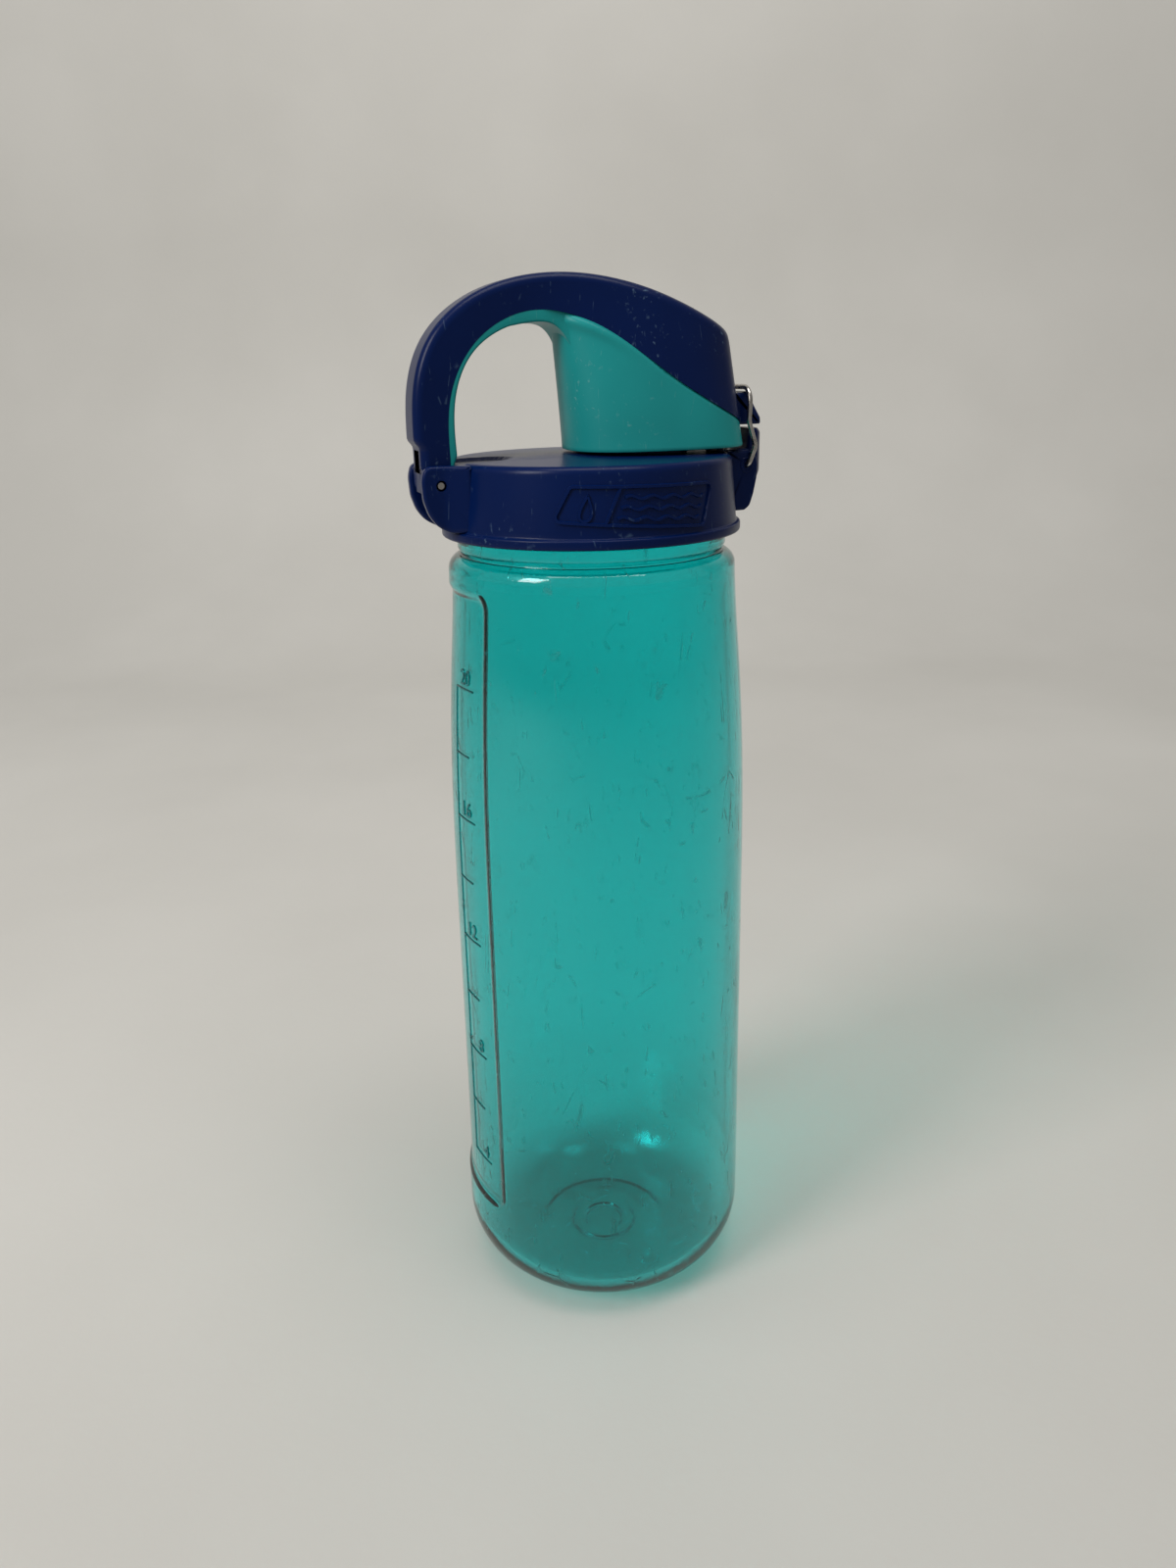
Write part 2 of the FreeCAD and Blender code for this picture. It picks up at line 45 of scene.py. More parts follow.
# ------------------------------------------------------------------ lines and surfaces
def smooth(points, count=80):
    """A line through a few points: a natural cubic spline in each coordinate over the chord length."""
    p = np.array(points, float)
    t = np.concatenate([[0], np.cumsum(np.linalg.norm(np.diff(p, axis=0), axis=1))])
    gap, n = np.diff(t), len(p)
    matrix, right = np.eye(n), np.zeros_like(p)
    inner = np.arange(1, n - 1)
    matrix[inner, inner - 1], matrix[inner, inner + 1] = gap[:-1], gap[1:]
    matrix[inner, inner] = 2 * (gap[:-1] + gap[1:])
    slope = np.diff(p, axis=0) / gap[:, None]
    right[1:-1] = 6 * np.diff(slope, axis=0)
    bend = np.linalg.solve(matrix, right)
    at = np.linspace(0, t[-1], count)
    i = np.clip(np.searchsorted(t, at, side="right") - 1, 0, n - 2)
    a, b, h = (t[i + 1] - at)[:, None], (at - t[i])[:, None], gap[i][:, None]
    return (bend[i] * a**3 + bend[i + 1] * b**3) / (6 * h) + (p[i] / h - bend[i] * h / 6) * a + (
        p[i + 1] / h - bend[i + 1] * h / 6) * b


def cornered(points, radii, steps=6):
    """Straight runs through points whose inner corners are arcs, each tangent to both of its runs."""
    points = [np.array(p, float) for p in points]
    radii = np.broadcast_to(radii, len(points))
    line = [points[0]]
    for before, here, after, radius in zip(points, points[1:], points[2:], radii[1:]):
        inward = (before - here) / np.linalg.norm(before - here)
        onward = (after - here) / np.linalg.norm(after - here)
        half = math.acos(float(np.clip(inward @ onward, -1, 1))) / 2
        if radius < 1e-6 or half > math.pi / 2 - 0.01:
            line.append(here)
            continue
        middle = (inward + onward) / np.linalg.norm(inward + onward)
        side = (onward - inward) / np.linalg.norm(onward - inward)
        turn = np.linspace(-1, 1, steps + 1)[:, None] * (math.pi / 2 - half)
        centre = here + middle * radius / math.sin(half)
        line += list(centre + radius * (side * np.sin(turn) - middle * np.cos(turn)))
    return np.array(line + [points[-1]])


def split(line, longest):
    """The same line with points added, so that no step is longer than a length."""
    made = [line[:1]]
    for start, end in zip(line, line[1:]):
        count = max(1, math.ceil(np.linalg.norm(end - start) / longest))
        made.append(start + (end - start) * np.linspace(0, 1, count + 1)[1:, None])
    return np.concatenate(made)


def loop(corners, radii, longest=1.2):
    """A closed outline with rounded corners. It starts in the middle of its last side."""
    corners = np.array(corners, float)
    seam = (corners[0] + corners[-1]) / 2
    radii = np.concatenate([[0], np.broadcast_to(radii, len(corners)), [0]])
    line = cornered([seam, *corners, seam], radii, 5)
    return split(line, longest)[:-1]


def along(line):
    """The length of a line up to each of its points."""
    return np.concatenate([[0], np.cumsum(np.linalg.norm(np.diff(line, axis=0), axis=1))])


def stations(line, places, near):
    """Points on a line: places are shares between keys, and near gives the point at each key."""
    length = along(line)
    keys = [length[np.argmin(np.linalg.norm(line - np.array(p), axis=1))] for p in near]
    at = np.interp(places, np.arange(len(keys)), keys)
    return np.stack([np.interp(at, length, line[:, k]) for k in range(line.shape[1])], -1)


def stepped(first, *spans):
    """Values from span to span. Each span is (its end, the number of steps that lead there)."""
    values = [first]
    for end, count in spans:
        values += list(np.linspace(values[-1], end, count + 1)[1:])
    return np.array(values)


def ramp(x):
    """0 below 0, 1 above 1 and a smooth step between."""
    x = np.clip(x, 0, 1)
    return x * x * (3 - 2 * x)


def piece(name, grids, body, material, replaces=(), lids=()):
    """One mesh from grids of points in millimetres, each a function of two parameters, and from flat
    lids given by their rims. Equal points are merged, and the faces are turned outwards."""
    points, faces, start = [], [], 0
    for grid in grids:
        rows, columns = grid.shape[:2]
        index = start + np.arange(rows * columns).reshape(rows, columns)
        quads = np.stack([index[:-1, :-1], index[1:, :-1], index[1:, 1:], index[:-1, 1:]], -1)
        faces += quads.reshape(-1, 4).tolist()
        points.append(grid.reshape(-1, 3) * MM)
        start += rows * columns
    for rim in lids:
        faces.append(list(range(start, start + len(rim))))
        points.append(np.array(rim) * MM)
        start += len(rim)
    mesh = bpy.data.meshes.new(name)
    mesh.from_pydata(np.concatenate(points), [], faces)
    return finished(mesh, name, body, material, replaces)


def finished(mesh, name, body, material, replaces=()):
    """Merges a mesh's equal points, turns its faces outwards and puts it on its body."""
    work = bmesh.new()
    work.from_mesh(mesh)
    bmesh.ops.remove_doubles(work, verts=work.verts, dist=WELD)
    bmesh.ops.dissolve_degenerate(work, edges=work.edges, dist=WELD / 4)
    bmesh.ops.recalc_face_normals(work, faces=work.faces)
    work.to_mesh(mesh)
    work.free()
    mesh.shade_smooth()
    mesh.set_sharp_from_angle(angle=math.radians(SHARP_ANGLE))
    mesh.materials.clear()
    mesh.materials.append(material)
    made = bpy.data.objects.new(name, mesh)
    bpy.context.scene.collection.objects.link(made)
    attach(made, body)
    if replaces:
        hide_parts(*replaces)
    return made


def around(profile, angles, centre=0.0):
    """A line of (radius, height) carried round the upright axis through (centre, 0)."""
    r, z = profile[:, 0][:, None], profile[:, 1][:, None]
    return np.stack([centre + r * np.cos(angles), r * np.sin(angles), z + 0 * angles], -1)


def full_turn(count):
    """Angles of a whole turn, with the first repeated as the last."""
    return np.linspace(0, math.tau, count + 1)


def tube(path, radius, sides=12):
    """A round wire: a circle carried along a path, its frame turned as little as possible from step to
    step, closed by a half ball at each end."""
    path = np.array(path, float)
    ahead = np.gradient(path, axis=0)
    ahead /= np.linalg.norm(ahead, axis=1)[:, None]
    across = [np.cross(ahead[0], [0.31, 0.87, 0.12])]
    for tangent in ahead:
        side = across[-1] - tangent * (across[-1] @ tangent)
        across.append(side / np.linalg.norm(side))
    across = np.array(across[1:])
    upward = np.cross(ahead, across)
    bow = np.linspace(0, math.pi / 2, 6)
    size = np.concatenate([np.sin(bow[:-1]), np.ones(len(path)), np.cos(bow[1:])]) * radius
    pick = np.concatenate([np.zeros(5, int), np.arange(len(path)), np.full(5, len(path) - 1)])
    shift = np.concatenate([-np.cos(bow[:-1]), np.zeros(len(path)), np.sin(bow[1:])]) * radius
    middle = path[pick] + ahead[pick] * shift[:, None]
    turn = full_turn(sides)
    ring = across[pick][:, None] * np.cos(turn)[:, None] + upward[pick][:, None] * np.sin(turn)[:, None]
    return middle[:, None] + ring * size[:, None, None]


def plate(outline, low, high, bevel, hole=None, warp=None):
    """A moulded plate: a closed outline (x, z) carried from y = low to y = high. Its rims are quarter
    circles, and its ends are flat, or ruled to a round hole (x, z, radius) right through it.
    warp(grid, share) may move the rows, with share -1 to 1 across the plate. Gives (grids, lids)."""
    ahead, behind = np.roll(outline, -1, 0), np.roll(outline, 1, 0)
    tangent = ahead - behind
    tangent /= np.linalg.norm(tangent, axis=1)[:, None] + 1e-12
    area = np.sum(outline[:, 0] * ahead[:, 1] - ahead[:, 0] * outline[:, 1])
    inward = np.stack([-tangent[:, 1], tangent[:, 0]], -1) * np.sign(area)
    quarter = np.linspace(0, math.pi / 2, 4)
    y = np.concatenate([low + bevel * (1 - np.sin(quarter[::-1])),
                        np.linspace(low + bevel, high - bevel, 12)[1:-1],
                        high - bevel * (1 - np.sin(quarter))])
    inset = np.concatenate([bevel * (1 - np.cos(quarter[::-1])), np.zeros(10), bevel * (1 - np.cos(quarter))])
    y[[0, -1]], inset[[0, -1]] = (low, high), bevel
    rows = outline[None] + inward[None] * inset[:, None, None]
    if hole:
        middle, radius = np.array(hole[:2]), hole[2]
        ray = outline - middle
        round_hole = middle + ray / np.linalg.norm(ray, axis=1)[:, None] * radius
        share = np.array([0, 0.06, 0.2, 0.35, 0.5, 0.65, 0.8, 0.92])[:, None, None]
        rule = round_hole + (rows[0] - round_hole) * share
        rows = np.concatenate([rule, rows, rule[::-1], round_hole[None]])
        y = np.concatenate([[low] * 8, y, [high] * 8, [low]])
    rows = np.concatenate([rows, rows[:, :1]], 1)
    grid = np.stack([rows[..., 0], np.broadcast_to(y[:, None], rows.shape[:2]), rows[..., 1]], -1)
    if warp:
        grid = warp(grid, (2 * y - low - high)[:, None] / (high - low))
    return [grid], [] if hole else [grid[0, :-1], grid[-1, :-1]]


def arch(lower, upper, half, recipe):
    """A long shell over the middle plane: two lines (x, z) joined at each station by rows. A row of the
    recipe is (share from lower to upper, shift along it, inset from the half width, share of the width).
    The rows run from the middle plane out and round to it again, and are mirrored. Gives the grid."""
    share, shift, inset, wide = np.array(recipe, float).T[:, :, None]
    reach = np.linalg.norm(upper - lower, axis=1)
    t = np.clip(share + shift / np.maximum(reach, 0.02), 0, 1)
    x = lower[:, 0] + (upper - lower)[:, 0] * t
    z = lower[:, 1] + (upper - lower)[:, 1] * t
    size = half(x, z)
    y = (size - np.minimum(inset, size)) * wide
    right = np.stack([x, y, z], -1)
    return np.concatenate([right, right[::-1] * [1, -1, 1]])


def ridge(line, wide, tall, wrap):
    """A raised line with sloping sides, laid on a surface: wrap(across, z, height) gives its places."""
    line = split(np.array(line, float), 1.0)
    tangent = np.gradient(line, axis=0)
    closed = np.allclose(line[0], line[-1])
    if closed:
        tangent[0] = tangent[-1] = line[1] - line[-2]
    tangent /= np.linalg.norm(tangent, axis=1)[:, None]
    side = np.stack([-tangent[:, 1], tangent[:, 0]], -1) * wide / 2
    grid = np.array([wrap(*(line + side * k).T, h) for k, h in
                     ((-1, -0.3), (-0.55, tall), (0.55, tall), (1, -0.3), (-1, -0.3))])
    if closed:
        return grid
    ends = grid[:4].mean(0)[[0, -1]]
    return np.concatenate([np.broadcast_to(ends[0], (5, 1, 3)), grid, np.broadcast_to(ends[1], (5, 1, 3))], 1)


# ------------------------------------------------------------------ materials
class Finish:
    """A procedural finish under way: short names for the nodes that most finishes share."""

    def __init__(self, name):
        self.material = bpy.data.materials.new(name)
        self.material.use_nodes = True
        self.tree = self.material.node_tree
        self.shader = self.tree.nodes["Principled BSDF"]
        self.output = self.tree.nodes["Material Output"]
        self.place = self.add("TexCoord").outputs["Object"]

    def add(self, kind, **values):
        """A node of a kind, with its settings."""
        node = self.tree.nodes.new(f"ShaderNode{kind}")
        for key, value in values.items():
            setattr(node, key, value)
        return node

    def put(self, socket, value):
        """Joins a socket to an output, or gives it a plain value."""
        if hasattr(value, "links"):
            self.tree.links.new(value, socket)
        else:
            socket.default_value = value

    def noise(self, scale, detail=3, stretch=(1, 1, 1)):
        """Noise of a scale per metre, stretched along an axis by making that axis slower."""
        mapping = self.add("Mapping")
        mapping.inputs["Scale"].default_value = stretch
        self.put(mapping.inputs["Vector"], self.place)
        node = self.add("TexNoise")
        node.inputs["Scale"].default_value = scale
        node.inputs["Detail"].default_value = detail
        self.put(node.inputs["Vector"], mapping.outputs["Vector"])
        return node.outputs["Fac"]

    def span(self, value, low, high, start=0.0, end=1.0):
        """A value mapped from low..high to start..end, and held there."""
        node = self.add("MapRange")
        for key, number in (("From Min", low), ("From Max", high), ("To Min", start), ("To Max", end)):
            node.inputs[key].default_value = number
        self.put(node.inputs["Value"], value)
        return node.outputs["Result"]

    def math(self, how, a, b=0.0):
        """One sum of two values."""
        node = self.add("Math", operation=how)
        self.put(node.inputs[0], a)
        self.put(node.inputs[1], b)
        return node.outputs[0]

    def mix(self, share, a, b):
        """A blend of two colours."""
        node = self.add("Mix", data_type="RGBA")
        self.put(node.inputs["Factor"], share)
        self.put(node.inputs["A"], a)
        self.put(node.inputs["B"], b)
        return node.outputs["Result"]

    def bump(self, height, distance, strength=1.0, under=None):
        """A bump map of a height in metres."""
        node = self.add("Bump")
        node.inputs["Distance"].default_value = distance
        node.inputs["Strength"].default_value = strength
        self.put(node.inputs["Height"], height)
        if under:
            self.put(node.inputs["Normal"], under)
        return node.outputs["Normal"]

    def scratches(self, scale, width, turn=0.0, stretch=0.12):
        """Thin lines: the edges of long cells, broken up by noise."""
        mapping = self.add("Mapping")
        mapping.inputs["Rotation"].default_value = (turn, turn * 0.7, turn)
        mapping.inputs["Scale"].default_value = (1, 1, stretch)
        self.put(mapping.inputs["Vector"], self.place)
        cells = self.add("TexVoronoi", feature="DISTANCE_TO_EDGE")
        cells.inputs["Scale"].default_value = scale
        self.put(cells.inputs["Vector"], mapping.outputs["Vector"])
        thin = self.span(cells.outputs["Distance"], 0.0, width, 1.0, 0.0)
        some = self.span(self.noise(scale * 1.7), 0.56, 0.66)
        return self.math("MULTIPLY", thin, some)


def rgb(red, green, blue):
    """A colour in linear light."""
    return (red, green, blue, 1)


def moulded_plastic(name, colour, pale, rough, wear):
    """Satin moulded plastic: slow colour drift, fine grain, pale scuffs and hairline scratches."""
    finish = Finish(name)
    drift = finish.span(finish.noise(45, 2), 0.3, 0.7)
    darker = tuple(0.86 * c for c in colour[:3]) + (1,)
    base = finish.mix(drift, darker, colour)
    specks = finish.span(finish.noise(900, 5), 0.62, 0.72)
    patches = finish.span(finish.noise(70, 4), 0.52, 0.68)
    scuffs = finish.math("MULTIPLY", specks, patches)
    lines = finish.scratches(260, 0.02, 0.5)
    worn = finish.math("MINIMUM", finish.math("ADD", scuffs, finish.math("MULTIPLY", lines, 0.6)), 1.0)
    faded = finish.mix(finish.math("MULTIPLY", worn, wear), base, pale)
    finish.put(finish.shader.inputs["Base Color"], faded)
    grain = finish.noise(2600, 2)
    rougher = finish.span(patches, 0, 1, rough, rough + 0.05)
    rougher = finish.math("ADD", rougher, finish.math("MULTIPLY", worn, 0.2))
    finish.put(finish.shader.inputs["Roughness"], rougher)
    bumps = finish.bump(grain, 0.00002, 0.25)
    finish.put(finish.shader.inputs["Normal"], finish.bump(worn, 0.00005, 0.5, bumps))
    finish.shader.inputs["IOR"].default_value = 1.5
    finish.shader.inputs["Specular IOR Level"].default_value = 0.13
    return finish.material


def clear_plastic(name, colour, rough, shade):
    """Clear tinted plastic, finely scratched. Lamps' light goes through it, tinted."""
    finish = Finish(name)
    lines = finish.scratches(150, 0.03, 0.35, 0.2)
    more = finish.scratches(70, 0.012, 1.1, 0.35)
    worn = finish.math("MAXIMUM", lines, more)
    haze = finish.span(finish.noise(28, 3), 0.35, 0.75, rough, rough + 0.1)
    haze = finish.math("ADD", haze, finish.math("MULTIPLY", worn, 0.35))
    finish.put(finish.shader.inputs["Roughness"], haze)
    deep = tuple(0.55 * c for c in colour[:3]) + (1,)
    # Towards the bottom the teal is darker and has almost no red: it starts at 14 mm and is full below 4 mm.
    thick = (colour[0] * 0.1, colour[1] * 0.66, colour[2] * 0.67, 1)
    height = finish.add("SeparateXYZ")
    finish.put(height.inputs[0], finish.place)
    low_down = finish.span(height.outputs["Z"], 0.004, 0.014, 1.0, 0.0)
    base = finish.mix(low_down, colour, thick)
    base = finish.mix(finish.math("MULTIPLY", worn, 0.8), base, deep)
    finish.put(finish.shader.inputs["Base Color"], base)
    ripple = finish.noise(60, 2, (1, 1, 0.3))
    low = finish.bump(ripple, 0.0006, 0.12)
    finish.put(finish.shader.inputs["Normal"], finish.bump(worn, 0.00004, 0.6, low))
    finish.shader.inputs["Transmission Weight"].default_value = 1
    finish.shader.inputs["IOR"].default_value = 1.5
    glow = finish.add("BsdfTransparent")
    glow.inputs["Color"].default_value = shade
    both = finish.add("MixShader")
    finish.put(both.inputs[0], finish.add("LightPath").outputs["Is Shadow Ray"])
    finish.put(both.inputs[1], finish.shader.outputs[0])
    finish.put(both.inputs[2], glow.outputs[0])
    finish.put(finish.output.inputs["Surface"], both.outputs[0])
    return finish.material


def drawn_steel(name):
    """Stainless wire: bright, with fine draw lines and small dull spots."""
    finish = Finish(name)
    spots = finish.span(finish.noise(700, 4), 0.45, 0.75)
    tone = finish.mix(spots, rgb(0.50, 0.48, 0.45), rgb(0.22, 0.20, 0.18))
    finish.put(finish.shader.inputs["Base Color"], tone)
    finish.shader.inputs["Metallic"].default_value = 1
    finish.put(finish.shader.inputs["Roughness"], finish.span(spots, 0, 1, 0.18, 0.42))
    drawn = finish.noise(5000, 2, (1, 1, 0.1))
    finish.put(finish.shader.inputs["Normal"], finish.bump(drawn, 0.00001, 0.3))
    return finish.material


def silicone(name):
    """Soft silicone: milky, matt and slightly dusty."""
    finish = Finish(name)
    dust = finish.span(finish.noise(1200, 4), 0.5, 0.7)
    tone = finish.mix(dust, rgb(0.55, 0.58, 0.58), rgb(0.72, 0.74, 0.74))
    finish.put(finish.shader.inputs["Base Color"], tone)
    finish.put(finish.shader.inputs["Roughness"], finish.span(dust, 0, 1, 0.48, 0.62))
    finish.shader.inputs["Subsurface Weight"].default_value = 0.15
    finish.put(finish.shader.inputs["Normal"], finish.bump(dust, 0.00002, 0.3))
    return finish.material


NAVY = moulded_plastic("navy_plastic", rgb(0.0002, 0.0085, 0.064), rgb(0.10, 0.17, 0.26), 0.28, 0.55)
TEAL = moulded_plastic("teal_plastic", rgb(0.014, 0.285, 0.285), rgb(0.20, 0.42, 0.40), 0.34, 0.35)
CLEAR = clear_plastic("clear_teal", rgb(0.042, 0.80, 0.81), 0.03, rgb(0.60, 0.72, 0.70))
MARKS = clear_plastic("clear_teal_marks", rgb(0.01, 0.42, 0.44), 0.08, rgb(0.6, 0.8, 0.8))
STEEL = drawn_steel("drawn_steel")
SILICONE = silicone("silicone")

# ------------------------------------------------------------------ the bottle
WALL, FLOOR, FOOT_R = 1.8, 2.6, 18.2
BODY_R, BASE_ROUND, NECK_R, NECK_BORE_R, RIM_Z = 36.83, 15.7, 28.2, 26.2, 208.0
ARC_R = 36  # the radius at which distances along the wall are measured
SIDE = [(36.83, 15.7), (36.83, 25), (36.7, 50), (36.55, 80), (36.4, 108), (36.0, 137), (35.2, 155),
        (34.45, 166), (33.5, 178), (33.05, 186)]
SIDE_LINE = smooth(SIDE, 200)
PANEL_LOW, PANEL_HIGH, PANEL_HALF, PANEL_DEEP, PANEL_ROUND, PANEL_STEP = 25, 184.6, 17.2, 0.8, 4.0, 2.2
PAD_X, PAD_Y, PAD_TALL = 3.9, -18.6, 0.9
NECK_THREAD_LOW, CAP_THREAD_LOW, LEAD, THREAD_TURNS, THREAD_TALL = 198.2, 200.55, 4.5, 1.25, 1.5


def panel_share(angle, z):
    """How deep the scale panels are at a place, 0 to 1: a smooth step across the edge of a rounded
    oblong, laid on the wall at both ends of the X axis."""
    across = np.abs((angle + math.pi / 2) % math.pi - math.pi / 2) * ARC_R
    out_x = across - (PANEL_HALF - PANEL_ROUND)
    out_z = np.abs(z - (PANEL_LOW + PANEL_HIGH) / 2) - ((PANEL_HIGH - PANEL_LOW) / 2 - PANEL_ROUND)
    outside = np.hypot(np.maximum(out_x, 0), np.maximum(out_z, 0)) + np.minimum(np.maximum(out_x, out_z), 0)
    step = np.where(np.cos(angle) > 0, 3 * PANEL_STEP, PANEL_STEP)
    return 1 - ramp((outside - PANEL_ROUND) / step + 1)


def thread_height(angle, z, low):
    """A right-hand thread's height at a place, 0 to 1: a flat-topped ridge about a helix that rises by
    the lead in a turn, faded out at both ends."""
    share = 0.0
    for lap in range(2):
        turn = angle / math.tau + lap
        flank = 1 - ramp((np.abs(z - low - LEAD * turn) - 0.42) / 0.6)
        share = np.maximum(share, flank * ramp(turn * 9) * ramp((THREAD_TURNS - turn) * 9))
    return share


def floor_pad(x, y):
    """The low pad on the inner floor: full height inside a turned oblong, falling off at its edge."""
    x, y = x - PAD_X, y - PAD_Y
    along_x, along_y = x * 0.94 - y * 0.34, x * 0.34 + y * 0.94
    return PAD_TALL * (1 - ramp((np.maximum(np.abs(along_x) / 3.3, np.abs(along_y) / 2.9) - 0.85) / 0.15))


def make_bottle():
    """The bottle's wall: the outside line from the base's middle to the rim and the inside line back,
    both carried round the axis. The panels are pressed into both, and the thread stands on the neck."""
    quarter = np.linspace(-math.pi / 2, 0, 22)
    gate = [(0, 1.2), (4.9, 1.2), (5.3, 0.7), (8.3, 0.7), (8.7, 1.2), (12, 1.1),
            (FOOT_R - 1.5, 0.5), (FOOT_R, 0.02)]
    base = split(cornered(gate, 0.35), 0.8)
    bow = np.stack([np.cos(quarter), 1 + np.sin(quarter)], -1)
    corner = [BODY_R - BASE_ROUND, 0] + BASE_ROUND * bow
    heights = stepped(BASE_ROUND, (23.5, 5), (29.5, 20), (180, 110), (186, 20))
    side = np.stack([np.interp(heights, SIDE_LINE[:, 1], SIDE_LINE[:, 0]), heights], -1)
    top = cornered([(33.05, 186), (32.95, 190.9), (29.9, 190.6), (30.7, 192.2), (30.7, 194.5),
                    (NECK_R, 194.9), (NECK_R, 196.6)], [0, 3.2, 0.3, 0.8, 0.4, 0.5, 0], 9)
    neck = np.stack([np.full(44, NECK_R), np.linspace(196.6, 206.0, 44)], -1)
    rim = cornered([(NECK_R, 206.0), (NECK_R, RIM_Z), (NECK_BORE_R, RIM_Z), (NECK_BORE_R, 205)], 0.7, 5)
    outside = np.concatenate([base, corner[1:], side[1:], top[1:], neck[1:], rim[1:]])
    shoulder = cornered([(NECK_BORE_R, 205), (NECK_BORE_R, 196.2), (28.8, 194.9), (28.1, 190.2),
                         (31.2, 188.6), (31.2, 186)], [0, 0.8, 1.2, 0.9, 1.6, 0], 7)
    inner_corner = [BODY_R - BASE_ROUND, FLOOR] + (BASE_ROUND - WALL) * bow
    inner_floor = [(BODY_R - BASE_ROUND, FLOOR), (8.9, FLOOR), (8.5, 3.1), (5.4, 3.1), (5.0, FLOOR),
                   (0, FLOOR)]
    inner_floor = split(cornered(inner_floor, 0.3), 0.4)
    inner_side = (side - [WALL, 0])[::-1]
    inside = np.concatenate([shoulder[1:], inner_side[1:-1], inner_corner[::-1], inner_floor[1:]])
    edge = PANEL_HALF / ARC_R
    half = stepped(0, (edge - 0.075, 24), (edge + 0.04, 18), (math.pi / 2, 42))
    angles = np.concatenate([half, math.pi - half[::-1][1:]])
    angles = np.concatenate([angles, angles[1:] + math.pi])
    line = np.concatenate([outside, inside])
    r, z = line[:, 0][:, None], line[:, 1][:, None] + 0 * angles
    outer = (np.arange(len(line)) < len(outside))[:, None]
    on_wall = (z > 18) & (z < 191) & (r > 30)
    r = r - np.where(on_wall, panel_share(angles, z) * PANEL_DEEP, 0)
    thread = thread_height(angles, z, NECK_THREAD_LOW) * THREAD_TALL
    r = r + np.where(outer & (z > 195.5) & (z < 206.5), thread, 0)
    z = z + np.where(~outer & (z < 5) & (r < 26), floor_pad(r * np.cos(angles), r * np.sin(angles)), 0)
    grid = np.stack([r * np.cos(angles), r * np.sin(angles), z], -1)
    piece("bottle_wall", [grid], "bottle", CLEAR, ["bottle_body"])


def on_panel(across, z, tall):
    """A place on the panel at -X: across is measured along the wall towards -Y."""
    radius = np.interp(z, SIDE_LINE[:, 1], SIDE_LINE[:, 0]) - PANEL_DEEP + tall
    angle = math.pi + across / ARC_R
    return np.stack([radius * np.cos(angle), radius * np.sin(angle), z], -1)


TICKS = [36.9 + 15.66 * n for n in range(9)]
SCALE_LINE, TICK_END = 2.6, 11.4


def make_scale():
    """The scale: an upright line, nine ticks, and a number at every second tick."""
    lines = [ridge([(SCALE_LINE, TICKS[0]), (SCALE_LINE, TICKS[-1])], 0.5, 0.22, on_panel)]
    lines += [ridge([(SCALE_LINE, z), (TICK_END - 2.0 * (n % 2), z)], 0.5, 0.22, on_panel)
              for n, z in enumerate(TICKS)]
    piece("scale_lines", lines, "bottle", MARKS)
    for text, z in zip(("4", "8", "12", "16", "20"), TICKS[::2]):
        make_number(text, TICK_END - 0.4 - 2.9 * len(text), z + 1.1)


def make_number(text, across, z):
    """One number of the scale: type set flat, thickened, then laid on the panel."""
    type_curve = bpy.data.curves.new("type", "FONT")
    type_curve.body, type_curve.size, type_curve.extrude, type_curve.resolution_u = text, 5.0, 0.25, 4
    holder = bpy.data.objects.new("type", type_curve)
    bpy.context.scene.collection.objects.link(holder)
    mesh = bpy.data.meshes.new_from_object(holder.evaluated_get(bpy.context.evaluated_depsgraph_get()))
    bpy.data.objects.remove(holder)
    flat = np.empty(len(mesh.vertices) * 3)
    mesh.vertices.foreach_get("co", flat)
    flat = flat.reshape(-1, 3)
    laid = on_panel(across + flat[:, 0], z + flat[:, 1], flat[:, 2]) * MM
    mesh.vertices.foreach_set("co", laid.ravel())
    finished(mesh, f"scale_number_{text}", "bottle", MARKS)


make_bottle()
make_scale()

# ------------------------------------------------------------------ the cap
SPOUT_X, SPOUT_HOLE = 13.5, 9.5
CROWN_Z, CROWN_R, CROWN_FALL, CAP_BORE_R, PLATE_Z, SKIRT_TOP = 212.2, 31.8, 0.8, 30.15, 209.6, 206.8
SKIRT_ARC_R = 32.5  # the radius at which distances along the skirt are measured
HINGE_X, HINGE_Z, LATCH_X, LATCH_Z, BAIL_X, BAIL_Z = -36.0, 207.1, 36.0, 200.6, 35.8, 208.2
NOTCH_TURN, NOTCH_BACK, NOTCH_FLOOR = 0.124, 28.8, SKIRT_TOP


def skirt_r(z):
    """The skirt's radius at a height."""
    return 33.1 - 1.3 * (z - 197.1) / 14.3


def on_skirt(across, z, tall):
    """A place on the skirt: across is the angle from -X towards -Y, in millimetres of arc."""
    angle = math.pi + across / SKIRT_ARC_R
    return np.stack([(skirt_r(z) + tall) * np.cos(angle), (skirt_r(z) + tall) * np.sin(angle), z], -1)


